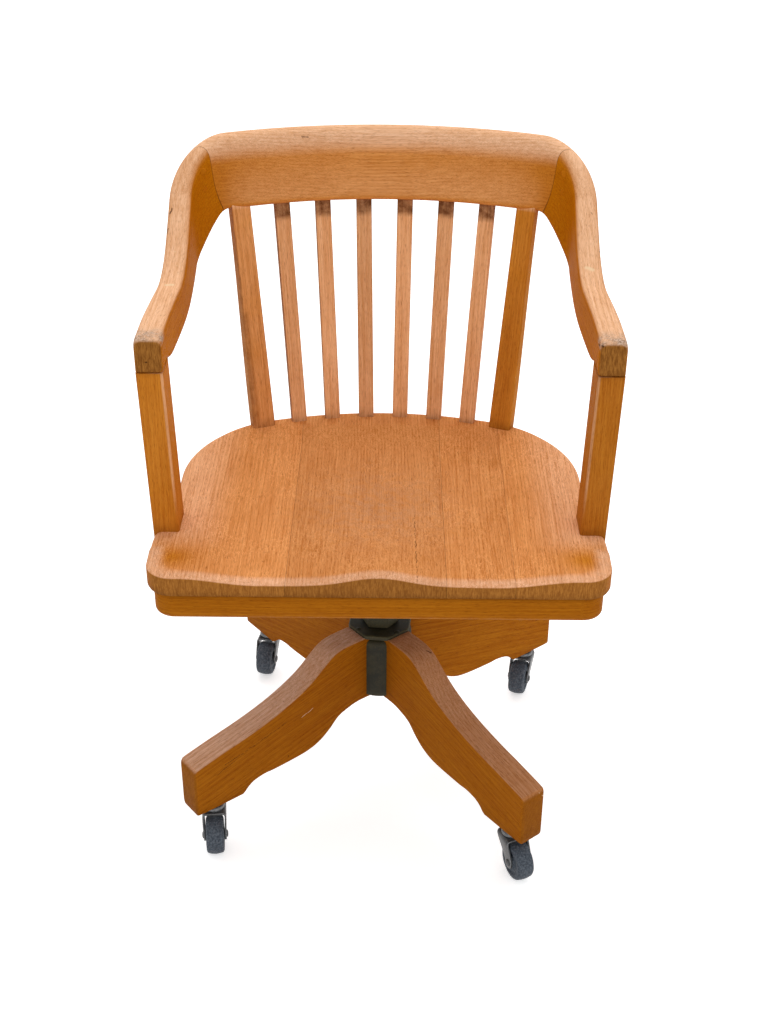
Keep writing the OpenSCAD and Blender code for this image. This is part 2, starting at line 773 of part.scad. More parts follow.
module height_nut() {
    color(iron) translate([0, 0, cap_top + face_gap]) difference() {
        rotate([0, 0, base_turn]) cylinder(h = nut_height - face_gap, d = nut_flats / cos(30), $fn = 6);
        translate([0, 0, -1]) cylinder(h = nut_height + 2, d = spindle_d + 2 * running_gap);
    }
}

module leg_slots(grow) {
    for (a = [0:90:270]) rotate([0, 0, a])
        translate([hub_core_radius, -leg_thickness / 2 - grow]) square([100, leg_thickness + 2 * grow]);
}

hub_screw_reach = cap_reach - 8;

module hub() {
    flare_height = 14;
    color(iron) rotate([0, 0, base_turn + 45]) difference() {
        union() {
            translate([0, 0, hub_bottom]) linear_extrude(leg_top - hub_bottom) difference() {
                circle(r = hub_radius);
                leg_slots(0);
            }
            // Flare between the legs under the cap
            difference() {
                translate([0, 0, leg_top - flare_height])
                    cylinder(h = flare_height, r1 = hub_radius - 0.5, r2 = cap_reach + 2);
                translate([0, 0, hub_bottom]) linear_extrude(leg_top - hub_bottom + 1) leg_slots(0);
            }
            translate([0, 0, leg_top]) linear_extrude(cap_thickness) intersection() {
                square(2 * cap_reach, center = true);
                rotate(45) square(2 * cap_reach + 5, center = true);
            }
        }
        translate([0, 0, hub_bottom - 1])
            cylinder(h = cap_top - hub_bottom + 2, d = spindle_d + 2 * running_gap);
        for (a = [0:90:270]) rotate([0, 0, a]) translate([hub_screw_reach, 0, leg_top - 1])
            cylinder(h = cap_thickness + 2, d = screw_shank_d + 2 * glue_gap);
    }
}

module hub_screws() {
    length = 40;
    color(steel) rotate([0, 0, base_turn + 45]) for (a = [0:90:270]) rotate([0, 0, a])
        translate([hub_screw_reach, 0, cap_top]) rotate([180, 0, 0]) wood_screw(length);
}

// Leg profile: distance from the axis and height, as a smooth curve through points
function through(points, steps) =
    let (n = len(points))
    concat([for (i = [0:n - 2])
        let (
            a = points[max(i - 1, 0)],
            b = points[i],
            c = points[i + 1],
            d = points[min(i + 2, n - 1)]
        )
        for (k = [0:steps - 1])
            let (t = k / steps)
            0.5 * (2 * b + (c - a) * t + (2 * a - 5 * b + 4 * c - d) * t * t
                + (3 * b - a - 3 * c + d) * t * t * t)],
        [points[n - 1]]);

leg_top_line = [
    [70, leg_top], [90, leg_top - 5], [108, leg_top - 18],
    [125, leg_top - 31], [145, leg_top - 42.5], [172, leg_top - 54], [200, leg_top - 63],
    [230, leg_top - 70.5], [262, foot_height + 85], [leg_reach - 8, foot_height + 76]
];
leg_under_line = [
    [hub_core_radius, hub_bottom - 7], [50, hub_bottom - 7], [66, hub_bottom - 10],
    [84, foot_height + 52], [100, foot_height + 37], [118, foot_height + 25],
    [141, foot_height + 18.5], [186, foot_height + 16], [203, foot_height + 16.5],
    [219, foot_height + 14], [229, foot_height + 9], [237, foot_height + 1.5]
];
leg_profile = concat(
    [[hub_core_radius, leg_top]],
    through(leg_top_line, 4),
    [[leg_reach - 3, foot_height + 73], [leg_reach - 0.7, foot_height + 69], [leg_reach, foot_height + 64],
        [leg_reach, foot_height + 7], [leg_reach - 2, foot_height + 2], [leg_reach - 7, foot_height],
        [242, foot_height]],
    through([for (i = [len(leg_under_line) - 1:-1:0]) leg_under_line[i]], 4)
);

module leg(index) {
    color(index % 2 == 0 ? oak_dark : oak) rotate([0, 0, base_turn + leg_angles[index]]) difference() {
        rotate([90, 0, 0]) linear_extrude(leg_thickness, center = true) polygon(leg_profile);
        translate([caster_reach, 0, foot_height - 1])
            cylinder(h = socket_length + 2, d = stem_d + 2 * running_gap + 2 * socket_wall + 2 * glue_gap);
        translate([hub_screw_reach, 0, leg_top - 45])
            cylinder(h = 60, d = screw_shank_d + 2 * glue_gap);
    }
}

// Casters

module at_caster(index) {
    rotate([0, 0, base_turn + leg_angles[index]]) translate([caster_reach, 0, 0])
        rotate([0, 0, caster_turns[index] - base_turn - leg_angles[index]]) children();
}

module caster_sockets() {
    bore = stem_d + 2 * running_gap;
    color(steel) for (i = [0:3]) at_caster(i) difference() {
        union() {
            translate([0, 0, foot_height]) cylinder(h = socket_length, d = bore + 2 * socket_wall);
            translate([0, 0, foot_height - flange_thickness]) cylinder(h = flange_thickness, d = stem_d + 14);
        }
        translate([0, 0, foot_height - flange_thickness - 1]) cylinder(h = socket_length + 4, d = bore);
    }
}

fork_front = -13;
fork_side = [
    [fork_front, crown_top], [fork_front, crown_underside], [caster_trail - 7.5, wheel_r + 2],
    [caster_trail - 6.5, wheel_r - 4.7], [caster_trail + 6.5, wheel_r - 4.7],
    [caster_trail + 8, wheel_r + 2], [caster_trail + 5, crown_underside], [caster_trail + 3, crown_top]
];

module fork(index) {
    race_top = foot_height - flange_thickness - face_gap;
    color(iron) at_caster(index) difference() {
        union() {
            for (side = [-1, 1]) translate([0, side * (fork_inside + fork_steel / 2), 0])
                rotate([90, 0, 0]) linear_extrude(fork_steel, center = true) union() {
                    polygon(fork_side);
                    translate([caster_trail, wheel_r]) circle(r = 8);
                }
            translate([fork_front, -fork_outside, crown_underside])
                cube([caster_trail + 3 - fork_front, 2 * fork_outside, fork_steel]);
            translate([0, 0, crown_underside]) cylinder(h = race_top - crown_underside, d1 = 27, d2 = 22);
            translate([0, 0, crown_underside]) cylinder(h = foot_height + socket_length - 6 - crown_underside, d = stem_d);
        }
        translate([caster_trail, 0, wheel_r]) rotate([90, 0, 0])
            cylinder(h = 2 * fork_outside + 2, d = axle_d + 2 * glue_gap, center = true);
    }
}

tread_round = 6;
wheel_profile = concat(
    [[axle_d / 2 + running_gap, -wheel_width / 2], [9, -wheel_width / 2], [10, -wheel_width / 2 + 2],
        [wheel_r - 9, -wheel_width / 2 + 2], [wheel_r - 8, -wheel_width / 2]],
    [for (a = [-90:22.5:0]) [wheel_r - tread_round + tread_round * cos(a), -wheel_width / 2 + tread_round + tread_round * sin(a)]],
    [for (a = [0:22.5:90]) [wheel_r - tread_round + tread_round * cos(a), wheel_width / 2 - tread_round + tread_round * sin(a)]],
    [[wheel_r - 8, wheel_width / 2], [wheel_r - 9, wheel_width / 2 - 2], [10, wheel_width / 2 - 2],
        [9, wheel_width / 2], [axle_d / 2 + running_gap, wheel_width / 2]]
);

module wheel(index) {
    color(rubber) at_caster(index) translate([caster_trail, 0, wheel_r]) rotate([90, 0, 0])
        rotate_extrude() polygon(wheel_profile);
}

module axle(index) {
    head_thickness = 2.5;
    color(steel) at_caster(index) translate([caster_trail, 0, wheel_r]) rotate([90, 0, 0]) {
        cylinder(h = 2 * fork_outside, d = axle_d, center = true);
        for (side = [-1, 1]) translate([0, 0, side * (fork_outside + head_thickness / 2)])
            cylinder(h = head_thickness, d = axle_d + 4, center = true);
    }
}

seat_board(0);  // seat_board_1
seat_board(1);  // seat_board_2
seat_board(2);  // seat_board_3
seat_board(3);  // seat_board_4
apron_piece(-seat_front, apron_front_joint, -seat_half_width, seat_half_width);  // front_apron
apron_piece(apron_front_joint, apron_back_joint, -seat_half_width, 0);  // left_apron
apron_piece(apron_front_joint, apron_back_joint, 0, seat_half_width);  // right_apron
apron_piece(apron_back_joint, seat_end, -seat_half_width, seat_half_width);  // back_apron
apron_screws();
crest_rail();
arm(-1);  // left_arm
arm(1);  // right_arm
bow_dowels();
arm_post(-1);  // left_arm_post
arm_post(1);  // right_arm_post
back_stile(-1);  // left_back_stile
back_stile(slat_count);  // right_back_stile
back_slat(0);  // back_slat_1
back_slat(1);  // back_slat_2
back_slat(2);  // back_slat_3
back_slat(3);  // back_slat_4
back_slat(4);  // back_slat_5
back_slat(5);  // back_slat_6
seat_iron(-1);  // left_seat_iron
seat_iron(1);  // right_seat_iron
iron_crossbar();
seat_iron_screws();
tilt_shaft();
tilt_housing();
tension_bolt();
tension_spring();
spring_washer();
tension_knob();
spindle();
height_nut();
hub();
hub_screws();
leg(0);  // front_left_leg
leg(1);  // front_right_leg
leg(2);  // rear_left_leg
leg(3);  // rear_right_leg
caster_sockets();
fork(0);  // front_left_fork
fork(1);  // front_right_fork
fork(2);  // rear_left_fork
fork(3);  // rear_right_fork
wheel(0);  // front_left_wheel
wheel(1);  // front_right_wheel
wheel(2);  // rear_left_wheel
wheel(3);  // rear_right_wheel
axle(0);  // front_left_axle
axle(1);  // front_right_axle
axle(2);  // rear_left_axle
axle(3);  // rear_right_axle
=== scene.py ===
from math import acos, asin, atan2, cos, hypot, pi, radians, sin, sqrt
import json

import bmesh
import bpy
import numpy as np
from mathutils import Matrix, Vector


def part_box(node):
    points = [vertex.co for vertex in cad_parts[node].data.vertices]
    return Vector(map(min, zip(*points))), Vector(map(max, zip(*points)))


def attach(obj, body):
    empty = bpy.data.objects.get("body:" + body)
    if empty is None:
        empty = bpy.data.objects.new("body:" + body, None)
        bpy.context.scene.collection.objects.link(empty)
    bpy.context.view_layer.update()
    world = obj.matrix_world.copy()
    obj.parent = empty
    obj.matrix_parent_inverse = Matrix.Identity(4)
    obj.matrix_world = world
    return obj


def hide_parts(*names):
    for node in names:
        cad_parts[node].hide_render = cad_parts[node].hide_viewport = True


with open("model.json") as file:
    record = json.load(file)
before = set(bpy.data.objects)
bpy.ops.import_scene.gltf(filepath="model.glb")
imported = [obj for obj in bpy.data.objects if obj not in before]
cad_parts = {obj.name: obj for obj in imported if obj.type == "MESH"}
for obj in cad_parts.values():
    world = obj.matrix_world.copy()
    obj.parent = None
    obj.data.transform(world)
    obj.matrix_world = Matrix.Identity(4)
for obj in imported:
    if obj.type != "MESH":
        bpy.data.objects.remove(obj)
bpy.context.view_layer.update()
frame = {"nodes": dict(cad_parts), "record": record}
scene = bpy.context.scene
nodes = frame["nodes"]

# Sizes shared with the solids, in millimetres
SEAT_HEIGHT = 455.0
SEAT_UNDERSIDE = 428.0
APRON_UNDERSIDE = 395.0
ARM_UNDERSIDE = 657.5
ARM_TOP = 700.0
CREST_BOTTOM = 738.5
CREST_TOP = 827.0
ARM_FRONT = 133.5
ARM_TURN = 147.3
ARM_HALF_WIDTH = 273.5
TURN_HALF_WIDTH = 266.5
SIDE_LENGTH = ARM_FRONT + ARM_TURN
CORNER_RADIUS = 91.0
CREST_RADIUS = 519.0
CORNER_CENTRE = TURN_HALF_WIDTH - CORNER_RADIUS
# The bow's joints lie at this depth and this far from the middle, in a plane that leans by the slope
BOW_JOINT = 191.0
JOINT_PIVOT = 215.0
JOINT_SLOPE = 0.46
# Gap between two glued pieces, so that the joint shows as a line
GLUE_GAP = 0.15
BASE_TURN = -6.3
LEG_NAMES = ("front_left", "front_right", "rear_left", "rear_right")
LEG_ANGLES = (225, 315, 135, 45)


def ease(t):
    t = np.clip(t, 0, 1)
    return t * t * (3 - 2 * t)


def blend(a, b, t):
    return a + (b - a) * t


def unit(v):
    return v / max(np.linalg.norm(v), 1e-12)


def arc(start, end, count):
    return np.radians(np.linspace(start, end, count))


def bar(left, right, near, far):
    return [(left, near), (right, near), (right, far), (left, far)]


# Shader nodes


class Wire:
    # An output of a node, on which sums and products add the next node
    def __init__(self, socket):
        self.socket = socket
        self.tree = socket.id_data

    def joined(self, operation, other):
        kind = "Math" if self.socket.type == "VALUE" else "VectorMath"
        return put(self.tree, kind, {"operation": operation}, i0=self, i1=other)

    def __add__(self, other):
        return self.joined("ADD", other)

    def __sub__(self, other):
        return self.joined("SUBTRACT", other)

    def __mul__(self, other):
        return self.joined("MULTIPLY", other)


def put(tree, kind, settings=None, output=0, **inputs):
    # Adds a node and gives back one of its outputs
    node = tree.nodes.new("ShaderNode" + kind)
    for key, value in (settings or {}).items():
        setattr(node, key, value)
    for key, value in inputs.items():
        socket = node.inputs[int(key[1:]) if key[1:].isdigit() else key.replace("_", " ")]
        if isinstance(value, Wire):
            tree.links.new(value.socket, socket)
        else:
            socket.default_value = value
    return Wire(node.outputs[output])


def calc(operation, a, b=0.0):
    return put(a.tree, "Math", {"operation": operation}, i0=a, i1=b)


def measure(operation, a, b=(0, 0, 0)):
    return put(a.tree, "VectorMath", {"operation": operation}, "Value", i0=a, i1=b)


def clamped(wire):
    wire.socket.node.use_clamp = True
    return wire


def span(value, low, high, start=0.0, end=1.0):
    return put(value.tree, "MapRange", {"interpolation_type": "SMOOTHSTEP"},
               Value=value, From_Min=low, From_Max=high, To_Min=start, To_Max=end)


def noise(place, scale, detail=2.0, roughness=0.5, output="Fac"):
    # A scale of three values stretches the pattern along each axis
    if isinstance(scale, tuple):
        place = place * scale
        scale = 1.0
    return put(place.tree, "TexNoise", None, output,
               Vector=place, Scale=scale, Detail=detail, Roughness=roughness)


def mix(factor, a, b, blend_type="MIX"):
    tree = (a if isinstance(a, Wire) else factor).tree
    return put(tree, "Mix", {"data_type": "RGBA", "blend_type": blend_type}, 2, i0=factor, i6=a, i7=b)


def stain(amount, shade, ink):
    return mix(amount, shade, mix(1.0, shade, ink, "MULTIPLY"))


def attribute(tree, name, output="Fac"):
    return put(tree, "Attribute", {"attribute_name": name}, output)


def swing(place, scale, reach):
    # A shift that wanders either way
    return (noise(place, scale, output="Color") - (0.5, 0.5, 0.5)) * reach


def colour(r, g, b):
    # From the screen's scale of 255 to light
    values = [c / 255 for c in (r, g, b)]
    return tuple(c / 12.92 if c <= 0.04045 else ((c + 0.055) / 1.055) ** 2.4 for c in values) + (1.0,)


def blank(name):
    material = bpy.data.materials.new(name)
    material.use_nodes = True
    tree = material.node_tree
    shader = next(n for n in tree.nodes if n.type == "BSDF_PRINCIPLED")
    return material, tree, shader


def plug(shader, shade, finish, bump, shine):
    # bump is its strength, its depth in metres and its height
    strength, depth, height = bump
    raised = put(shade.tree, "Bump", Strength=strength, Distance=depth, Height=height)
    for name, wire in (("Base Color", shade), ("Roughness", finish), ("Normal", raised)):
        wire.tree.links.new(wire.socket, shader.inputs[name])
    shader.inputs["Specular IOR Level"].default_value = shine


def stroke(place, start, end, width, wobble):
    # Mask of a short line between two places, in millimetres
    a = np.array(start, float) / 1000
    along = np.array(end, float) / 1000 - a
    offset = place - tuple(a) + wobble
    share = clamped(measure("DOT_PRODUCT", offset, tuple(along)) * (1 / float(along @ along)))
    nearest = put(place.tree, "VectorMath", {"operation": "SCALE"}, i0=tuple(along), Scale=share)
    half = width / 2000
    return span(measure("LENGTH", offset - nearest), half * 0.4, half * 1.3, 1.0, 0.0)


def seam_mask(place, at, slope, width, amount):
    # Mask of the bow's joints: a line that runs back with the distance from the middle
    across, along = (put(place.tree, "SeparateXYZ", None, axis, Vector=place) for axis in (0, 1))
    from_middle = calc("ABSOLUTE", across)
    off = calc("ABSOLUTE", along - from_middle * slope - at / 1000)
    half = width / 2000
    return span(off, half * 0.3, half * 1.5, amount, 0.0) * calc("GREATER_THAN", from_middle, 0.2)


def oak_figure(grain, ring, fleck):
    # Tone of the wood, its open pores and its finest streaks
    bent = grain + swing(grain, (1.8, 7, 7), (0, 0.012, 0.012))
    bent = bent + swing(grain, (14, 50, 50), (0, 0.0022, 0.0022))
    # Growth rings round a pith that lies along the grain
    from_pith = measure("LENGTH", bent * (0, 1, 1))
    saw = calc("FRACT", calc("DIVIDE", from_pith, ring) + noise(bent, (0.8, 34, 34), 1.0) * 1.6)
    early = clamped(span(saw, 0.08, 0.5, 1.0, 0.0) + span(saw, 0.92, 1.0))
    long_streak = noise(bent, (6, 420, 420), 3.0, 0.65)
    fine_streak = noise(bent, (30, 1500, 1500), 2.0, 0.6)
    dashes = noise(bent, (110, 2100, 2100), 1.0)
    pores = span(dashes, 0.56, 0.70) * (early * 0.25 + 0.75)
    patch = noise(grain, (5, 14, 14), 3.0)
    tone = span(long_streak, 0.3, 0.7) * 0.42 + span(fine_streak, 0.35, 0.65) * 0.34 + early * 0.16
    tone = clamped(tone + (patch - 0.5) * 0.6)
    if fleck:
        ribbons = noise(bent, (70, 190, 420), 3.0, 0.6)
        on_ribbon = span(calc("ABSOLUTE", ribbons - 0.5), 0.004, 0.03, 1.0, 0.0)
        few = span(noise(bent, (12, 16, 16)), 0.42, 0.6)
        tone = clamped(tone - on_ribbon * few * fleck)
    return tone, pores, fine_streak


def oak(name, gold, tan, pale, strength=1.0, ring=0.0042, fleck=0.0, rough=0.52,
        cracks=(), scuffs=(), dents=(), seam=None):
    # Gold is the varnished wood, tan the thinner varnish and pale a painted sheen, the colour painted on the
    # faces that look up as if they reflected the overhead light
    material, tree, shader = blank(name)
    gold, tan, pale = (colour(*c) for c in (gold, tan, pale))
    thinned, painted_sheen, end, worn, painted_shade_amount, tint = (attribute(tree, field) for field in (
        "tan", "pale", "end", "worn", "painted_shade", "tint"))
    tone, pores, fine_streak = oak_figure(attribute(tree, "grain", "Vector"), ring, fleck)
    place = put(tree, "TexCoord", None, "Object")
    mottled = noise(place, (26, 26, 26), 3.0)
    specks = noise(place, (90, 90, 90), 4.0, 0.7)
    grit = noise(place, (520, 520, 520), 2.0, 0.6)
    shade = mix(clamped(thinned * span(mottled, 0.1, 0.6, 0.7, 1.05)), gold, tan)
    # Painted sheen: pale is painted on the faces that look up
    shade = mix(clamped(painted_sheen * span(mottled, 0.1, 0.5, 0.8, 1.0)), shade, pale)
    shade = stain(tone * strength, shade, GRAIN_INK)
    shade = stain(pores * (0.5 * strength), shade, PORE_INK)
    rings_cut = noise(place, (800, 200, 110), 3.0, 0.7)
    shade = mix(end, shade, mix(span(rings_cut, 0.3, 0.66), colour(168, 112, 50), colour(122, 74, 28)))
    # Wear: rubbed places lose their varnish, and painted shade darkens the hollows, joints and faces that the
    # meshes mark
    wear_and_highlight = clamped(worn * span(specks, 0.3, 0.66, 0.1, 1.15))
    shade = mix(wear_and_highlight, shade, mix(span(grit, 0.4, 0.6), colour(150, 118, 96), colour(206, 178, 156)))
    # Painted shade: a brown stain where the meshes mark shade
    shade = stain(clamped(painted_shade_amount * span(specks, 0.25, 0.7, 0.6, 1.2)), shade, colour(104, 76, 52))
    shade = mix(span(grit, 0.70, 0.76) * span(specks, 0.5, 0.6) * 0.5, shade, colour(70, 40, 18))
    # Each board is a little lighter or darker than the next, and more so in blue
    red, green, blue = (tint * share + 1.0 for share in (1.0, 1.1, 1.2))
    shade = mix(1.0, shade, put(tree, "CombineColor", Red=red, Green=green, Blue=blue), "MULTIPLY")
    wobble = swing(place, (140, 140, 140), (0.004, 0.004, 0.004))
    height = fine_streak * 0.35 - pores * 0.6 + specks * 0.5
    marks = None
    for group, ink, amount in ((cracks, CRACK_INK, 0.85), (dents, DENT_INK, 0.6), (scuffs, SCUFF_INK, 0.75)):
        for mark in group:
            mask = stroke(place, *mark, wobble) * amount
            shade = mix(mask, shade, ink)
            marks = calc("MAXIMUM", marks, mask) if marks else mask
    if seam:
        shade = mix(seam_mask(place, *seam), shade, SEAM_INK)
    if marks:
        height = height - marks
    finish = clamped(specks * 0.2 + (rough - 0.1) + pores * 0.15 + wear_and_highlight * 0.25)
    plug(shader, shade, finish, (0.3, 0.0006, height), 0.015)
    return material


def metal(name, base, edge, metallic, rough, scale=60.0, spots=0.5):
    material, tree, shader = blank(name)
    base, edge = colour(*base), colour(*edge)
    place = put(tree, "TexCoord", None, "Object")
    coarse = noise(place, scale, 4.0, 0.6)
    grit = noise(place, scale * 9, 3.0, 0.7)
    shade = mix(span(coarse, 0.35, 0.75, 0.0, spots), base, edge)
    shade = mix(span(grit, 0.55, 0.75) * 0.35, shade, edge)
    # Edges turn to the edge colour: partly worn, partly a painted highlight
    shade = mix(clamped(attribute(tree, "wear_and_highlight") * span(grit, 0.3, 0.6, 0.4, 1.0)), shade, edge)
    shader.inputs["Metallic"].default_value = metallic
    plug(shader, shade, clamped(grit * 0.25 + (rough - 0.12)), (0.4, 0.0004, grit), 0.3)
    return material


# Mesh helpers: places in millimetres


def mesh_of(name, shape, material, fields, sharp=38.0, lift=True):
    # With lift, pale, a painted sheen, runs out from the faces that look up to the upright ones
    points, faces = shape
    mesh = bpy.data.meshes.new(name)
    mesh.from_pydata([tuple(p) for p in np.asarray(points, float) / 1000], [], [tuple(f) for f in faces])
    work = bmesh.new()
    work.from_mesh(mesh)
    bmesh.ops.recalc_face_normals(work, faces=work.faces)
    work.to_mesh(mesh)
    work.free()
    mesh.update()
    fields = dict(fields)
    least = fields.pop("least_pale", 0.0)
    if lift:
        upward = ease((np.array([v.normal[2] for v in mesh.vertices]) - 0.2) / 0.7)
        fields["pale"] = np.maximum(fields.get("pale", 1.0) * upward, least)
    for key, values in fields.items():
        values = np.asarray(values, float)
        if values.ndim == 0:
            values = np.full(len(mesh.vertices), float(values))
        kind, share = ("FLOAT_VECTOR", "vector") if values.ndim == 2 else ("FLOAT", "value")
        mesh.attributes.new(key, kind, "POINT").data.foreach_set(share, values.ravel())
    for face in mesh.polygons:
        face.use_smooth = True
    mesh.set_sharp_from_angle(angle=radians(sharp))
    mesh.materials.append(material)
    piece = bpy.data.objects.new(name, mesh)
    scene.collection.objects.link(piece)
    return piece


def hand_in(piece, node, body):
    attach(piece, body)
    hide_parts(node)


def make(node, kind, shape, body, material, slot, fields, **settings):
    piece = mesh_of(f"{node}_{kind}", shape, material, fields, **settings)
    hand_in(piece, node, body)
    return piece


def make_iron(node, kind, shape, body, material, slot, wear_and_highlight, sharp=50):
    make(node, kind, shape, body, material, slot, {"wear_and_highlight": wear_and_highlight}, sharp=sharp, lift=False)


def loft(rings, closed=False):
    # Surface over rings with the same number of places, with ends where it isn't closed
    rings = np.asarray(rings, float)
    m, n = rings.shape[:2]
    faces = []
    for i in range(m if closed else m - 1):
        following = (i + 1) % m
        for k in range(n):
            beside = (k + 1) % n
            faces.append((i * n + k, i * n + beside, following * n + beside, following * n + k))
    if not closed:
        faces.append(tuple(range(n))[::-1])
        faces.append(tuple(range((m - 1) * n, m * n)))
    return rings.reshape(-1, 3), faces


def soften(polygon, reaches, steps=4):
    # Closed section with each corner turned into a curve that starts a reach away from it
    polygon = np.asarray(polygon, float)
    result = []
    for k in range(len(polygon)):
        corner = polygon[k]
        before = polygon[k - 1] - corner
        after = polygon[(k + 1) % len(polygon)] - corner
        a = corner + unit(before) * min(reaches[k], 0.49 * np.linalg.norm(before))
        b = corner + unit(after) * min(reaches[k], 0.49 * np.linalg.norm(after))
        for t in np.linspace(0, 1, steps + 1):
            result.append((1 - t) ** 2 * a + 2 * t * (1 - t) * corner + t * t * b)
    return np.array(result)


def divided(section, shares_of):
    # Adds places along the sides of a closed section, at the shares given for a side's number and length
    full = []
    for k, a in enumerate(section):
        b = section[(k + 1) % len(section)]
        full.append(a)
        full += [blend(a, b, share) for share in shares_of(k, np.linalg.norm(b - a))]
    return np.array(full)


def level_ring(section, z):
    return [(p[0], p[1], z) for p in section]


def through(points, steps=12):
    # Smooth curve through the points
    p = np.array(points, float)
    result = []
    for i in range(len(p) - 1):
        a, b, c, d = p[max(i - 1, 0)], p[i], p[i + 1], p[min(i + 2, len(p) - 1)]
        for t in np.linspace(0, 1, steps, endpoint=False):
            result.append(0.5 * (2 * b + (c - a) * t + (2 * a - 5 * b + 4 * c - d) * t * t
                                 + (3 * b - a - 3 * c + d) * t ** 3))
    return np.array(result + [p[-1]])


def turned(profile, steps):
    # Solid from a profile of radius and height, turned round the upright axis
    turns = np.linspace(0, 2 * pi, steps, endpoint=False)
    return loft([[(r * cos(a), r * sin(a), z) for a in turns] for r, z in profile])


def swept(profile_at, steps, shift=0.0):
    # Bored piece from the profile at each angle round the upright axis
    turns = np.linspace(0, 2 * pi, steps, endpoint=False)
    return loft([[(r * cos(a), r * sin(a) - shift, z) for r, z in profile_at(a)] for a in turns], closed=True)


def joined(*shapes):
    points, faces, first = [], [], 0
    for some_points, some_faces in shapes:
        points.append(some_points)
        faces += [tuple(first + i for i in f) for f in some_faces]
        first += len(some_points)
    return np.vstack(points), faces


def turn_z(points, degrees, shift=(0, 0, 0)):
    a = radians(degrees)
    return points @ np.array([[cos(a), sin(a), 0], [-sin(a), cos(a), 0], [0, 0, 1]]) + shift


def grain_of(points, along, across, thick, shift=(0, 0, 0)):
    return (points @ np.array([along, across, thick], float).T + shift) / 1000


def cut(piece, place, normal):
    # Keeps the side that the normal points away from, and closes the cut
    shape = bmesh.new()
    shape.from_mesh(piece.data)
    made = bmesh.ops.bisect_plane(
        shape, geom=shape.verts[:] + shape.edges[:] + shape.faces[:], dist=1e-7,
        plane_co=Vector(place) / 1000, plane_no=normal, clear_outer=True)
    edges = [e for e in made["geom_cut"] if isinstance(e, bmesh.types.BMEdge)]
    bmesh.ops.holes_fill(shape, edges=edges, sides=0)
    shape.to_mesh(piece.data)
    shape.free()
    piece.data.set_sharp_from_angle(angle=radians(38))


def part_of(whole, node, cuts, grain_shift, tint=0.0):
    # Copy of a whole made of several pieces, cut down to one of them and with its own grain
    piece = whole.copy()
    piece.data = whole.data.copy()
    piece.name = f"{node}_wood"
    scene.collection.objects.link(piece)
    for place, normal in cuts:
        cut(piece, place, normal)
    count = len(piece.data.vertices)
    layer = piece.data.attributes["grain"].data
    values = np.zeros(count * 3)
    layer.foreach_get("vector", values)
    values = values.reshape(-1, 3) + np.array(grain_shift) / 1000
    layer.foreach_set("vector", values.ravel())
    layer = piece.data.attributes.new("tint", "FLOAT", "POINT")
    layer.data.foreach_set("value", np.full(count, tint))
    hand_in(piece, node, "seat")


def rotation(*turns):
    result = Matrix.Identity(4)
    for angle, axis in turns:
        result = result @ Matrix.Rotation(angle, 4, axis)
    return result


# Camera, as solved from the photograph: its place in metres, and its turn, tilt and roll in radians

CAMERA_PLACE = (0.0133016, -1.6010307, 1.354106)
CAMERA_TURNS = ((0.00522975, "Z"), (pi / 2 - 0.53655861, "X"), (0.00619379, "Z"))
FOCAL_PIXELS = 1452.846
PICTURE_HEIGHT = 1024
SENSOR = 36.0


def place_camera():
    view = bpy.data.cameras.new("photo_camera")
    camera = bpy.data.objects.new("photo_camera", view)
    scene.collection.objects.link(camera)
    camera.matrix_world = Matrix.Translation(CAMERA_PLACE) @ rotation(*CAMERA_TURNS)
    view.sensor_fit = "AUTO"
    view.sensor_width = SENSOR
    view.lens = FOCAL_PIXELS / PICTURE_HEIGHT * SENSOR
    view.clip_start = 0.05
    view.clip_end = 60.0
    scene.camera = camera


# Light, floor and background


def seen_plainly(tree):
    # 1 for rays from the camera, and for those that metal and glass send on
    camera, glossy, transmitted = (put(tree, "LightPath", None, kind) for kind in (
        "Is Camera Ray", "Is Glossy Ray", "Is Transmission Ray"))
    return calc("MAXIMUM", calc("MAXIMUM", camera, glossy), transmitted)


def light_world():
    world = bpy.data.worlds.new("studio")
    scene.world = world
    world.use_nodes = True
    sky = world.node_tree
    back = next(n for n in sky.nodes if n.type == "BACKGROUND")
    back.inputs["Color"].default_value = (1, 1, 1, 1)
    level = put(sky, "MapRange", Value=seen_plainly(sky), To_Min=0.78, To_Max=1.0)
    sky.links.new(level.socket, back.inputs["Strength"])


def area(name, place, size, power):
    lamp = bpy.data.lights.new(name, "AREA")
    lamp.shape = "RECTANGLE"
    lamp.size, lamp.size_y = size
    lamp.energy = power
    holder = bpy.data.objects.new(name, lamp)
    scene.collection.objects.link(holder)
    holder.location = place
    direction = Vector((0, 0, 0.5)) - Vector(place)
    holder.rotation_euler = direction.to_track_quat("-Z", "Y").to_euler()


def lay_floor():
    material, tree, shader = blank("floor")
    shader.inputs["Base Color"].default_value = (0.97, 0.97, 0.97, 1)
    shader.inputs["Roughness"].default_value = 0.9
    shader.inputs["Specular IOR Level"].default_value = 0.0
    glow = put(tree, "Emission", Strength=seen_plainly(tree) * 0.5)
    added = put(tree, "AddShader", i0=Wire(shader.outputs[0]), i1=glow)
    end = next(n for n in tree.nodes if n.type == "OUTPUT_MATERIAL")
    tree.links.new(added.socket, end.inputs["Surface"])
    mesh = bpy.data.meshes.new("floor")
    mesh.from_pydata([(-14, -8, 0), (14, -8, 0), (14, 26, 0), (-14, 26, 0)], [], [(0, 1, 2, 3)])
    mesh.materials.append(material)
    floor = bpy.data.objects.new("floor", mesh)
    scene.collection.objects.link(floor)


place_camera()
light_world()
area("overhead", (0.0, 1.3, 2.9), (2.6, 1.8), 34)
area("front_fill", (1.1, -2.2, 2.3), (1.8, 1.2), 9)
lay_floor()

# Materials, with the marks of use: the ends of each in millimetres, and its width

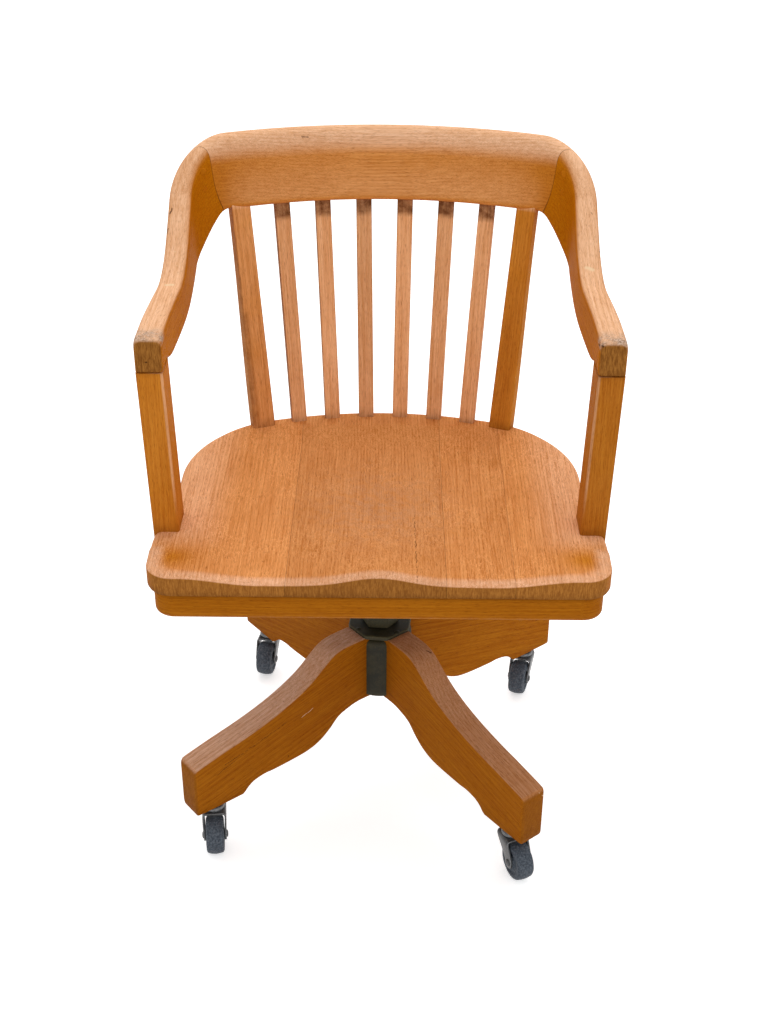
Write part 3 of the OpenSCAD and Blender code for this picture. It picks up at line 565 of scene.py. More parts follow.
GRAIN_INK = colour(214, 190, 158)
PORE_INK = colour(150, 112, 84)
CRACK_INK = colour(58, 30, 12)
DENT_INK = colour(96, 56, 24)
SCUFF_INK = colour(232, 200, 160)
SEAM_INK = colour(66, 36, 14)
ARM_NICKS = [
    ((-260.9, 133, 757.4), (-262.9, 127, 751.8), 1.8), ((-264, 110, 738.6), (-264.9, 105, 734), 1.8),
    ((-265.5, 86, 722), (-266, 82, 719), 1.6), ((-260.7, -133.5, 672), (-259.7, -133.5, 672), 2.4),
    ((158.1, 216.6, 794), (158.3, 214.7, 787), 0.8), ((242.1, -120, 692.3), (245, -132, 694), 3.0)]
ARM_NICKS += [
    ((268 + 0.4 * k, 88 - 7 * k, 721 - 4.3 * k), (263.5 + 0.4 * k, 86.5 - 7 * k, 721.5 - 4.3 * k), 1.3)
    for k in range(5)]
ARM_DENTS = [
    ((-104.5, 237.5, 816.8), (-97, 239, 816.3), 2.4), ((256.8, 131.6, 757), (261.5, 125.6, 751.5), 0.9),
    ((203.7, 200.5, 794), (203, 194.5, 757), 0.6), ((-188.4, 205.6, 789.5), (-188, 196.5, 753.4), 0.5)]
ARM_SCUFFS = [
    ((-264.2, 84.1, 721.1), (-251.4, 79.7, 720.3), 1.0), ((-265, 68.4, 711.7), (-247, 60.1, 709.9), 0.9),
    ((-265, 55.7, 706.3), (-243.4, 47.5, 704.6), 1.0), ((-256, 23.3, 700), (-250, 23.7, 700), 7.0),
    ((248, 62, 710.8), (254, 59.5, 709.5), 7.0)]
LEG_CRACKS = [
    ((-195, -179.3, 132.1), (-158.9, -150.4, 141.1), 1.2),
    ((-158.9, -150.4, 141.1), (-115.7, -115.8, 154.6), 1.0),
    ((-205, -187.5, 122), (-176, -164.2, 133), 1.0), ((-119.8, -119, 97), (-119.9, -119.1, 95), 1.8),
    ((62, -60.4, 226.9), (67.2, -61.9, 224.8), 1.8)]
LEG_SCUFFS = [
    ((-100.9, -103.9, 150.2), (-86.9, -92.7, 156.4), 1.0),
    ((199.2, -234.2, 139.2), (204.8, -231.7, 132.1), 1.6)]
BOW_SEAM = (BOW_JOINT - JOINT_SLOPE * JOINT_PIVOT, JOINT_SLOPE, 0.55, 0.75)
oak_bow = oak("oak_bow", (198, 121, 14), (222, 150, 78), (246, 198, 160), rough=0.55,
              cracks=ARM_NICKS, dents=ARM_DENTS, scuffs=ARM_SCUFFS, seam=BOW_SEAM)
oak_apron = oak("oak_apron", (178, 108, 20), (190, 122, 48), (214, 156, 108))
oak_slats = oak("oak_slats", (208, 132, 24), (234, 168, 112), (250, 200, 158), 1.1, ring=0.0035)
oak_legs = oak("oak_legs", (186, 114, 24), (190, 124, 50), (232, 188, 162), 1.2, ring=0.0048,
               cracks=LEG_CRACKS, scuffs=LEG_SCUFFS)
dark_iron = metal("dark_iron", (26, 25, 14), (84, 76, 46), 0.1, 0.6, spots=0.25)
bare_steel = metal("bare_steel", (120, 118, 112), (176, 174, 168), 0.9, 0.34, spots=0.5)
fork_steel = metal("fork_steel", (30, 31, 32), (150, 152, 154), 0.45, 0.34, spots=0.12)
rubber = metal("caster_rubber", (50, 58, 68), (132, 140, 150), 0.0, 0.62, 420.0, 0.42)

# Seat: corners of its outline with their radii, and the hollow of its top

SIDE_CORNERS = [(265.5, -238, 32), (267.5, -150, 250), (252, -20, 250), (252, 66, 165), (184, 146.6, 137)]
CORNERS = SIDE_CORNERS + [(0, 202.6, 451)] + [(-x, y, radius) for x, y, radius in SIDE_CORNERS[::-1]]
OUTLINE_PLACES = 520
HOLLOW_HALF_WIDTH = 199.5
HOLLOW_TAPER = 0.125
HOLLOW_SIDE_SLOPE = 90
HOLLOW_BACK = 141
HOLLOW_BACK_SLOPE = 58
HOLLOW_DEPTH = 13
HOLLOW_FRONT_DEPTH = 8.5
RIDGE_HEIGHT = 11.5
RIDGE_HALF_WIDTH = 48
EDGE_REACH = 9.0
EDGE_BASE = 432.0
# Rings of the seat's mesh up to the top of its upright face, and where the roll behind that ends
UPRIGHT_RINGS = 7
ROLL_END = 18.5
BOARD_SEAMS = (-400, -106, 77, 155, 400)
BOARD_SHIFTS = ((0, 420, 40), (900, 260, 55), (1700, -330, 30), (2500, -420, 50))
BOARD_TINTS = (0.06, -0.06, 0.02, 0.08)


def corner_arc(before, at, after, steps):
    p = np.array(at[:2], float)
    u = unit(np.array(before[:2], float) - p)
    v = unit(np.array(after[:2], float) - p)
    half = acos(u @ v) / 2
    centre = p + unit(u + v) * at[2] / sin(half)
    start = p + u * at[2] * cos(half) / sin(half) - centre
    sweep = (pi - 2 * half) * (-1 if u[0] * v[1] - u[1] * v[0] > 0 else 1)
    return [centre + np.array([start[0] * cos(a) - start[1] * sin(a),
                               start[0] * sin(a) + start[1] * cos(a)])
            for a in np.linspace(0, sweep, steps + 1)]


def outline():
    # Evenly spaced places round the seat, with their inward normals
    raw = []
    for i in range(len(CORNERS)):
        raw += corner_arc(CORNERS[i - 1], CORNERS[i], CORNERS[(i + 1) % len(CORNERS)], 24)
    raw = np.array(raw)
    loop = np.vstack([raw, raw[:1]])
    steps = np.linalg.norm(np.diff(loop, axis=0), axis=1)
    at = np.concatenate([[0], np.cumsum(steps)])
    where = np.linspace(0, at[-1], OUTLINE_PLACES, endpoint=False)
    places = np.stack([np.interp(where, at, loop[:, k]) for k in (0, 1)], 1)
    ahead_of = np.roll(places, -1, 0) - np.roll(places, 1, 0)
    ahead_of /= np.linalg.norm(ahead_of, axis=1)[:, None]
    inward = np.stack([-ahead_of[:, 1], ahead_of[:, 0]], 1)
    return places, inward


def seat_surface(x, y):
    # Height of the top: a hollow that ends at a crease along the back, and a ridge at the front
    across = ease((HOLLOW_HALF_WIDTH - HOLLOW_TAPER * y - np.abs(x)) / HOLLOW_SIDE_SLOPE)
    along = np.clip((HOLLOW_BACK - y) / HOLLOW_BACK_SLOPE, 0, 1)
    along = 1 - (1 - along) ** 2.2
    depth = blend(HOLLOW_DEPTH, HOLLOW_FRONT_DEPTH, ease((-40 - y) / 198))
    ridge = ease((-80 - y) / 158) * np.exp(-((x / RIDGE_HALF_WIDTH) ** 2))
    return SEAT_HEIGHT - depth * across * along + RIDGE_HEIGHT * ridge


def on_seat(x, y):
    return (x, y, float(seat_surface(x, y)))


# A drying crack runs back from the front edge
SEAT_CRACK = [on_seat(43.5 - 0.01 * (y + 234), y) for y in range(-234, -58, 16)]
oak_seat = oak("oak_seat", (198, 122, 28), (222, 144, 66), (242, 186, 146), 1.2, fleck=0.6,
               cracks=[(a, b, 0.9) for a, b in zip(SEAT_CRACK, SEAT_CRACK[1:])])


def seat_rings(places, inward, crisp):
    # From the underside up the edge and over it, then in towards the middle
    # The edge stands back a little behind the arm posts
    behind = ease((places[:, 1] + 139) / 3) * ease((-95 - places[:, 1]) / 3) * (np.abs(places[:, 0]) > 200)
    edge = places + inward * (behind * 3.0)[:, None]
    rings = []
    for inset, z in ((12, SEAT_UNDERSIDE), (3.5, SEAT_UNDERSIDE), (1.2, 429.2), (0, EDGE_BASE)):
        p = edge + inward * inset
        rings.append(np.column_stack([p, np.full(OUTLINE_PLACES, z)]))
    drop = blend(8.0, 3.6, crisp)
    first = np.radians(blend(0.0, 38.0, crisp))
    inner = edge + inward * EDGE_REACH
    rim = seat_surface(*inner.T)
    start = rim - drop * (1 - np.sin(first))
    for share in (0.35, 0.7):
        rings.append(np.column_stack([edge, blend(EDGE_BASE, start - 1.2, share)]))
    rings.append(np.column_stack([edge, start - 1.0 * crisp]))
    for share in np.linspace(0, 1, 9):
        angle = blend(first, pi / 2, share)
        inset = EDGE_REACH * (1 - np.cos(angle) / np.cos(first)) + 0.6 * crisp * (1 - share)
        p = edge + inward * inset[:, None]
        rings.append(np.column_stack([p, rim - drop * (1 - np.sin(angle))]))
    centre = np.array([0.0, -20.0])
    for share in np.linspace(1, 0.012, 72)[1:]:
        p = centre + (inner - centre) * share
        rings.append(np.column_stack([p, seat_surface(*p.T)]))
    return rings


def build_seat():
    places, inward = outline()
    # The rounded edge turns into a crisp one under a roll along the front, which is worn and carries a
    # painted highlight
    crisp = ease((-160 - places[:, 1]) / 20)
    rings = seat_rings(places, inward, crisp)
    points, faces = loft(rings)
    x, y, z = points.T
    grain = grain_of(points, (0, 1, 0), (1, 0, 0), (0, 0, 1), (0, 0, -SEAT_HEIGHT))
    ring_number = np.repeat(np.arange(len(rings)), OUTLINE_PLACES)
    facing = np.tile(ease((inward[:, 1] - 0.35) / 0.4), len(rings))
    upright = 1.0 * (ring_number < UPRIGHT_RINGS)
    roll = np.tile(crisp, len(rings)) * (1 - upright) * np.clip((ROLL_END - ring_number) / 3, 0, 1)
    low = ease((SEAT_UNDERSIDE + 7 - z) / 6)
    # Painted shade: the upright edge is darker where it turns away from the front and towards the underside
    painted_shade = upright * (0.35 * (1 - facing) + 0.4 * low)
    worn = np.maximum(0.22 * np.exp(-((x / 85) ** 2) - ((y + 60) / 95) ** 2), 0.15 * roll)
    corner_glow = np.exp(-(((np.abs(x) - 238) / 26) ** 2) - ((y + 194) / 20) ** 2)
    # Painted sheen, through pale: the rims at the sides are painted paler, and the roll along the front
    # carries a painted highlight
    sheen_share = 0.25 + 0.5 * ease((np.abs(x) - 170) / 60) * ease((y + 190) / 50)
    pale = np.maximum(sheen_share, 0.95 * roll) * (1 - corner_glow)
    fields = {"grain": grain, "painted_shade": painted_shade, "worn": worn, "tan": 1 - 0.75 * corner_glow,
              "end": 0.85 * facing * upright, "pale": pale, "least_pale": 0.9 * roll}
    whole = mesh_of("seat_whole", (points, faces), oak_seat, fields)
    for i in range(4):
        cuts = []
        if i > 0:
            cuts.append(((BOARD_SEAMS[i] + GLUE_GAP, 0, 0), (-1, 0, 0)))
        if i < 3:
            cuts.append(((BOARD_SEAMS[i + 1] - GLUE_GAP, 0, 0), (1, 0, 0)))
        part_of(whole, f"seat_board_{i + 1}", cuts, BOARD_SHIFTS[i], BOARD_TINTS[i])
    bpy.data.objects.remove(whole)


# Apron, with the depths of its joints behind the front and before the back

APRON_LENGTH = 1720
APRON_FRONT_JOINT, APRON_REAR_JOINT = -186.0, 104.0
APRON_SECTION = ((7, SEAT_UNDERSIDE), (7, APRON_UNDERSIDE), (29, APRON_UNDERSIDE), (29, SEAT_UNDERSIDE))


def build_apron():
    places, inward = outline()
    # The sides get a place for about every 6 mm
    section = divided(soften(APRON_SECTION, [0.8, 5.0, 2.0, 0.8], 5),
                      lambda k, size: [t / int(size / 6) for t in range(1, int(size / 6))])
    rings = [[(x + across * s[0], y + along * s[0], s[1]) for s in section]
             for (x, y), (across, along) in zip(places, inward)]
    points, faces = loft(rings, closed=True)
    loop = np.repeat(np.linspace(0, APRON_LENGTH, len(rings), endpoint=False), len(section))
    depth = np.tile(section[:, 0], len(rings))
    height = points[:, 2] - APRON_UNDERSIDE
    low = ease((6 - height) / 6)
    # Painted shade: the apron darkens towards its top, under the seat
    fields = {"grain": np.column_stack([loop, height, depth]) / 1000, "painted_shade": 0.35 * ease((height - 25) / 8),
              "pale": 0.0, "tan": 0.6 * low, "worn": 0.12 * low}
    whole = mesh_of("apron_whole", (points, faces), oak_apron, fields, lift=False)
    front, rear = APRON_FRONT_JOINT, APRON_REAR_JOINT
    sides = [((0, front + GLUE_GAP, 0), (0, -1, 0)), ((0, rear - GLUE_GAP, 0), (0, 1, 0))]
    for name, cuts, shift in (
            ("front", [((0, front - GLUE_GAP, 0), (0, 1, 0))], (0, 60, 12)),
            ("back", [((0, rear + GLUE_GAP, 0), (0, -1, 0))], (500, 20, 45)),
            ("left", sides + [((0, 0, 0), (1, 0, 0))], (900, 80, 20)),
            ("right", sides + [((0, 0, 0), (-1, 0, 0))], (1500, 45, 30))):
        part_of(whole, f"{name}_apron", cuts, shift)
    bpy.data.objects.remove(whole)


# Bow: its corners of the section give the inset, the share of the height and the drop below that

CORNER_START = asin(CORNER_CENTRE / (CREST_RADIUS - CORNER_RADIUS))
CORNER_LENGTH = (pi / 2 - CORNER_START) * CORNER_RADIUS
BOW_LENGTH = SIDE_LENGTH + CORNER_LENGTH + CORNER_START * CREST_RADIUS
CREST_CENTRE_Y = ARM_TURN - (CREST_RADIUS - CORNER_RADIUS) * cos(CORNER_START)
ARM_SECTION = np.array([
    [0, 0, 0], [0, 0.5, 0], [0, 1, 6], [1.8, 1, 1.8], [6, 1, 0], [25.5, 1, 0], [29.7, 1, 1.8], [31.5, 1, 6],
    [31.5, 0.6, 0], [31.5, 0.3, 0], [31.5, 0, -3], [28.5, 0, 0]], float)
CREST_SECTION = np.array([
    [18, 0, 0], [7, 0.56, 0], [0, 1, 12], [2, 1, 6], [9, 1, 1.5], [16, 1, 0], [24, 1, 4], [29, 1, 14],
    [31.5, 1, 26], [38.5, 0.42, 0], [52.5, 0, -4], [49, 0, 0]], float)
SECTION_REACH = [2.5, 40, 40, 40, 40, 40, 40, 40, 40, 40, 3, 3]
# Sides of the softened section that are long enough to be divided
LONG_SIDES = (4, 9, 39, 44, 49)
# Height of the underside at places along the bow, from the front of the arm
UNDERSIDE = [
    (0, ARM_UNDERSIDE), (20, ARM_UNDERSIDE), (38, ARM_UNDERSIDE), (52, 653), (68, 647.5), (90, 644.8),
    (130, 644.3), (170, 645.6), (205, 650), (240, 657.2), (270, 665.6), (295, 675.9), (315, 689.2),
    (330, 702.3), (347, 718.5), (365, 733), (385, CREST_BOTTOM), (405, CREST_BOTTOM), (430, CREST_BOTTOM)]
UNDERSIDE_CURVE = through(UNDERSIDE)
ARM_END = SIDE_LENGTH + 92
CREST_START = SIDE_LENGTH + 20
JOINT_GAP = 0.06


def gradual(u, start, length):
    return float(ease((u - start) / length))


def narrowing(u):
    return gradual(u, 50, 180)


def bow_point(u, inset):
    if u < SIDE_LENGTH:
        return np.array([blend(ARM_HALF_WIDTH, TURN_HALF_WIDTH, narrowing(u)) - inset, -ARM_FRONT + u])
    if u < SIDE_LENGTH + CORNER_LENGTH:
        a = pi / 2 - (u - SIDE_LENGTH) / CORNER_RADIUS
        reach = CORNER_RADIUS - inset
        return np.array([CORNER_CENTRE + reach * sin(a), ARM_TURN + reach * cos(a)])
    a = (BOW_LENGTH - u) / CREST_RADIUS
    reach = CREST_RADIUS - inset
    return np.array([reach * sin(a), CREST_CENTRE_Y + reach * cos(a)])


def bow_top(u):
    return blend(ARM_TOP, CREST_TOP, ease((u - 152) / 241.5))


def bow_ring(u, shrink=0.0):
    outer = gradual(u, 204, 180)
    inner = gradual(u, 285, 140)
    top = float(bow_top(u))
    bottom = float(np.interp(u, UNDERSIDE_CURVE[:, 0], UNDERSIDE_CURVE[:, 1]))
    section = []
    for k in range(12):
        change = outer if k < 8 else inner
        inset, share, drop = blend(ARM_SECTION[k], CREST_SECTION[k], change)
        slim = 2 * narrowing(u) * (1 - change) if k > 4 else 0
        section.append((inset - slim, blend(bottom, top, share) - drop))
    section = divided(soften(section, SECTION_REACH, 4),
                      lambda k, size: (0.25, 0.5, 0.75) if k in LONG_SIDES else ())
    if shrink:
        centre = section.mean(0)
        size = (section.max(0) - section.min(0)) / 2
        section = centre + (section - centre) * (1 - shrink / size)
    return np.array([(*bow_point(u, s[0]), s[1]) for s in section])


def bow_places(start, end, step, soft=0.0):
    # Places along the bow, with how much the section shrinks at a softened start
    places = []
    if soft:
        reaches = [soft * share for share in (0, 0.08, 0.2, 0.38, 0.6, 0.8)]
        places = [(start + reach, soft - sqrt(soft ** 2 - (soft - reach) ** 2)) for reach in reaches]
    return places + [(u, 0.0) for u in np.linspace(start + soft, end, int((end - start) / step))]


def build_arm(name, sign, tint):
    rings = [bow_ring(u, s) for u, s in bow_places(0, ARM_END, 4.0, 4.5)]
    points, faces = loft(rings)
    points[:, 0] *= sign
    x, y, z = points.T
    # The front end's upper edge is worn round
    over = ease((-y - 121) / 12.5) * ease((z - 672) / 28)
    points[:, 2] -= 3.5 * over ** 2
    # The grain follows most of the arm's sweep upwards
    level_z = z - 0.85 * (bow_top(y + ARM_FRONT) - ARM_TOP)
    grain = np.column_stack([y + (700 if sign > 0 else 0), level_z - 640, np.abs(x) - 205]) / 1000
    end = ease((-y - 130.5) / 2)
    worn = 0.9 * ease((-y - 96) / 24) * ease((z - 688) / 5) * (1 - end)
    fields = {"grain": grain, "end": end, "worn": worn, "tint": tint, "tan": 0.0}
    arm = make(f"{name}_arm", "wood", (points, faces), "seat", oak_bow, "oak_arms", fields)
    cut(arm, (sign * JOINT_PIVOT, BOW_JOINT - JOINT_GAP, 0), (-sign * JOINT_SLOPE, 1, 0))


def build_crest():
    half = [bow_ring(u, s) for u, s in bow_places(CREST_START, BOW_LENGTH, 4.0)]
    other = [r * (-1, 1, 1) for r in half[:-1][::-1]]
    points, faces = loft(half + other)
    grain = grain_of(points, (1, 0, 0), (0, 0, 1), (0, 1, 0), (300, -700, -190))
    tan = np.exp(-(np.abs(points[:, 0]) / 205) ** 6)
    # Painted highlight: the top band of the crest is painted paler, as if lit from above
    lit_top_band = ease((points[:, 2] - 792) / 22)
    fields = {"grain": grain, "end": 0.0, "tint": 0.0, "tan": tan, "least_pale": lit_top_band}
    crest = make("crest_rail", "wood", (points, faces), "seat", oak_bow, "oak_back", fields)
    for sign in (-1, 1):
        cut(crest, (sign * JOINT_PIVOT, BOW_JOINT + JOINT_GAP, 0), (sign * JOINT_SLOPE, -1, 0))


# Arm posts: outer side and front at the foot, and the section

POST_FOOT_X = 267.5
POST_FOOT_Y = -140
POST_WIDTH = 31
POST_DEPTH = 46
POST_HIGHLIGHT_REACH = 2.4


def post_place(z):
    # Outer side and front of a post at a height
    share = (z - SEAT_HEIGHT) / (ARM_UNDERSIDE - SEAT_HEIGHT)
    return blend(POST_FOOT_X, ARM_HALF_WIDTH, share), blend(POST_FOOT_Y, -ARM_FRONT, share)


def build_post(name, sign):
    rings = []
    levels = [(SEAT_UNDERSIDE, 1.5), (428.6, 0.6), (430, 0)]
    levels += [(z, 0) for z in np.linspace(438, 652, 30)] + [(ARM_UNDERSIDE, 0)]
    for z, shrink in levels:
        outer, front = post_place(z)
        left, right = outer - POST_WIDTH + shrink, outer - shrink
        near, far = front + shrink, front + POST_DEPTH - shrink
        section = soften(bar(left, right, near, far), [3.5] * 4, 4)
        section = divided(section, lambda k, size: (0.25, 0.5, 0.75) if size > 8 else ())
        rings.append([(sign * p[0], p[1], z) for p in section])
    points, faces = loft(rings)
    grain = grain_of(points, (0, 0, 1), (1, 0, 0), (0, 1, 0), (1000 * sign, sign * -240, 150))
    z = points[:, 2]
    # Painted shade: darker at the foot by the seat and at the top under the arm
    painted_shade = 0.35 * ease((475 - z) / 25) + 0.3 * ease((z - 655) / 4)
    # The front inner edge carries a painted highlight, as if it caught the light
    outer, front = post_place(z)
    from_edge = np.abs(points[:, 0]) - outer + POST_WIDTH
    from_front = points[:, 1] - front
    corner = 0.55 * (from_edge < POST_HIGHLIGHT_REACH) * (from_front < POST_HIGHLIGHT_REACH) * ease((z - 470) / 60)
    fields = {"grain": grain, "painted_shade": painted_shade, "tint": -0.04 - 0.1 * sign, "tan": 0.3, "pale": corner}
    make(f"{name}_arm_post", "wood", (points, faces), "seat", oak_bow, "oak_arms", fields, lift=False)


# Slats and stiles: they stand on an arc on the seat and lean back and out to a wider one under the crest

SLAT_FOOT_RADIUS, SLAT_HEAD_RADIUS = 404, 440
SLAT_FOOT_Y, SLAT_HEAD_Y = 164, 230
SLAT_FOOT_STEP, SLAT_HEAD_STEP = 6.43, 6.95
SLAT_SHIFT = 1.3
SLAT_IN_CREST = 14
STILE_IN_CREST = 5
STILE_FLARE = 4.5
UPRIGHT_TINTS = (0.05, 0.06, 0.1, -0.02, 0.14, 0.04, 0.1, 0.0)
UPRIGHT_TANS = (0.75, 1, 1, 1, 1, 1, 1, 0.15)


def on_arc(angle, radius, front, z):
    return np.array([radius * sin(angle), front - radius + radius * cos(angle), z])


def slat_frame(i):
    a, b, turn = (radians((i - 2.5) * step)
                  for step in (SLAT_FOOT_STEP, SLAT_HEAD_STEP, (SLAT_FOOT_STEP + SLAT_HEAD_STEP) / 2))
    foot = on_arc(a, SLAT_FOOT_RADIUS, SLAT_FOOT_Y, SEAT_HEIGHT)
    d = on_arc(b, SLAT_HEAD_RADIUS, SLAT_HEAD_Y, CREST_BOTTOM) - foot
    sideways = d[0] * cos(turn) - d[1] * sin(turn)
    rearward = d[0] * sin(turn) + d[1] * cos(turn)
    lean = atan2(rearward, d[2])
    spread = atan2(sideways, hypot(rearward, d[2]))
    turned_by = np.array(rotation((-turn, "Z"), (-lean, "X"), (spread, "Y")).to_3x3())
    return foot, turned_by, np.linalg.norm(d), lean


def build_upright(i, name):
    # Slats are numbered from 0, with a stile before the first and after the last
    stile = i in (-1, 6)
    width, depth = (25, 18.5) if stile else (20, 12)
    foot, turned_by, length, lean = slat_frame(i)
    below = SLAT_IN_CREST / cos(lean)
    above = STILE_IN_CREST if stile else below
    section = soften(bar(-width / 2, width / 2, 0, depth), [2.2] * 4, 4)
    section = divided(section, lambda k, size: (0.33, 0.67) if size > 6 else ())
    rings = []
    outer = -1 if i == -1 else 1
    for z in np.linspace(-below, length + above, 44):
        # A stile widens on its outer side towards the foot
        flare = STILE_FLARE * ease(1 - z / length) if stile else 0
        rings.append([(p[0] + outer * flare * max(p[0] * outer + 6, 0) / 18, p[1], z) for p in section])
    points, faces = loft(rings)
    shift = (431 * i, 37 * ((i * 7) % 5 - 2), 40 + 23 * ((i * 3) % 4))
    grain = grain_of(points, (0, 0, 1), (1, 0, 0), (0, 1, 0), shift)
    z = points[:, 2]
    # Painted shade: the foot is darker where it meets the seat, the head of a slat is in the crest's shadow
    # and the left sides, turned from the light, are darker
    painted_shade = 0.45 * ease((14 - z) / 16)
    if not stile:
        painted_shade += 0.8 * ease((z - length + 24) / 10)
    shaded = (points[:, 0] < 0.4 - width / 2) * (i < 5)
    painted_shade = np.maximum(painted_shade, (0.45 if stile else 0.62) * shaded)
    points = points @ turned_by.T + foot + np.array([0 if stile else SLAT_SHIFT, 0, 0])
    # The slats carry at least this share of the painted sheen on every face
    fields = {"grain": grain, "painted_shade": painted_shade, "tint": UPRIGHT_TINTS[i + 1], "tan": UPRIGHT_TANS[i + 1],
              "least_pale": 0.0 if stile else 0.45}
    make(name, "wood", (points, faces), "seat", oak_slats, "oak_back", fields)


# Legs: heights of the upper and lower edges at distances from the middle

LEG_TOP = [(26, 230), (70, 230), (90, 225), (108, 212), (125, 199), (145, 187.5), (172, 176), (200, 167),
           (230, 159.5), (262, 153), (301, 144), (306, 141), (308.3, 137), (309, 132)]
LEG_UNDER = [(26, 130), (50, 130), (66, 127), (84, 120), (100, 105), (118, 93), (141, 86.5), (186, 84),
             (203, 84.5), (219, 82), (229, 77), (237, 69.5), (242, 68), (302, 68), (307, 70), (309, 75)]
LEG_REACH = 309
LEG_HALF_THICKNESS = 18
LEG_END_ROUND = 4.0
LEG_GRAIN_SLOPE = radians(14)
LEG_GRAIN_SHIFTS = ((0, 40, -330), (600, 25, -310), (1300, 70, -340), (1900, 10, -300))
LEG_TINTS = (-0.08, -0.06, -0.16, 0.0)
# Share of the painted sheen on each leg's top
LEG_SHEENS = (1.0, 0.45, 0.8, 0.7)


def leg_rings():
    upper, under = through(LEG_TOP), through(LEG_UNDER)
    tip = LEG_REACH - 7 * (1 - np.sin(arc(15, 90, 9)))
    reach = np.concatenate([np.linspace(26, 299, 92), tip])
    high = np.interp(reach, upper[:, 0], upper[:, 1])
    low = np.interp(reach, under[:, 0], under[:, 1])
    rings = []
    for r, zt, zb in zip(reach, high, low):
        over = max(0.0, r - (LEG_REACH - LEG_END_ROUND))
        half = LEG_HALF_THICKNESS - LEG_END_ROUND + sqrt(LEG_END_ROUND ** 2 - over ** 2)
        section = soften(bar(-half, half, zb, zt), [4.5, 4.5, 2.6, 2.6], 5)
        section = divided(section, lambda k, size: (0.2, 0.4, 0.6, 0.8) if k % 6 == 5 else ())
        rings.append([(r, p[0], p[1]) for p in section])
    return rings


def build_legs():
    points, faces = loft(leg_rings())
    r, t, z = points.T
    end = ease((r - 306) / 2)
    # Darker near the hub, at the ends and low down: painted shade of the seat above and of the undersides
    painted_shade = 0.3 * ease((60 - r) / 30) + 0.2 * end + 0.15 * ease((90 - z) / 20)
    along, rise = cos(LEG_GRAIN_SLOPE), sin(LEG_GRAIN_SLOPE)
    for index, (name, angle) in enumerate(zip(LEG_NAMES, LEG_ANGLES)):
        grain = grain_of(points, (along, 0, -rise), (rise, 0, along), (0, 1, 0), LEG_GRAIN_SHIFTS[index])
        fields = {"grain": grain, "painted_shade": painted_shade, "end": 0.25 * end, "tint": LEG_TINTS[index],
                  "pale": LEG_SHEENS[index]}
        shape = (turn_z(points, BASE_TURN + angle), faces)
        make(f"{name}_leg", "wood", shape, "pedestal", oak_legs, "oak_legs", fields)


# Iron and steel. The profiles give the radius and the height, or the place along the axle

CASTER_TURNS = (-84, -66, -100, -108)
CASTER_REACH = 274.0
CASTER_TRAIL = 19.6
WHEEL_RADIUS = 25.4
AXLE_HEIGHT = WHEEL_RADIUS
EYE_RADIUS = 8
CROWN_HEIGHT = 55.2
SHEET_HALF = 1.25
TREAD_HALF = 7
SHOULDER_ROUND = 4.2
WHEEL_SIDE = [(WHEEL_RADIUS - 5.1 + SHOULDER_ROUND * cos(a), TREAD_HALF + 0.2 + SHOULDER_ROUND * sin(a))
              for a in arc(18, 90, 5)]
WHEEL_SIDE += [(17.6, 11.4), (17.2, 10.8), (16.4, 9.6), (15.6, 9.3), (11, 9.3), (10.2, 9.8), (9.6, 11.6),
               (9.0, 12.0), (3.3, 12.0)]
WHEEL_PROFILE = [(r, -y) for r, y in WHEEL_SIDE[::-1]]
WHEEL_PROFILE += [(WHEEL_RADIUS - 0.9 * (y / TREAD_HALF) ** 2, y)
                  for y in np.linspace(-TREAD_HALF, TREAD_HALF, 9)]
WHEEL_PROFILE += WHEEL_SIDE
RACE_PROFILE = [
    (4.5, 104), (4.5, 67.6), (10.6, 67.4), (11.4, 66.6), (11.8, 64.8), (11.2, 63.2), (10.9, 62.4),
    (12.4, 61.6), (13.6, 60.2), (13.9, 58.6), (13.5, 57), (12.6, 56.3), (12.2, 54.4), (11.6, 53.9),
    (4, 53.9), (0.4, 53.9)]
AXLE_HEAD = [(0.3, 17.0), (1.6, 16.95), (3.2, 16.6), (4.5, 16.0), (5.0, 15.3), (5.0, 14.9), (4.6, 14.75),
             (3.0, 14.7)]


def wear_and_highlight_on_edges(points, faces, reach=0.55):
    # Share of wear and painted highlight, most where the faces round a point turn away from each other
    shape = bmesh.new()
    made = [shape.verts.new(p) for p in points]
    for face in faces:
        shape.faces.new([made[i] for i in face])
    bmesh.ops.recalc_face_normals(shape, faces=shape.faces)
    shape.verts.ensure_lookup_table()
    wear_and_highlight = np.zeros(len(points))
    for vertex in shape.verts:
        angles = [e.calc_face_angle_signed(0.0) for e in vertex.link_edges]
        wear_and_highlight[vertex.index] = min(max(angles + [0.0]) / reach, 1.0)
    shape.free()
    return wear_and_highlight


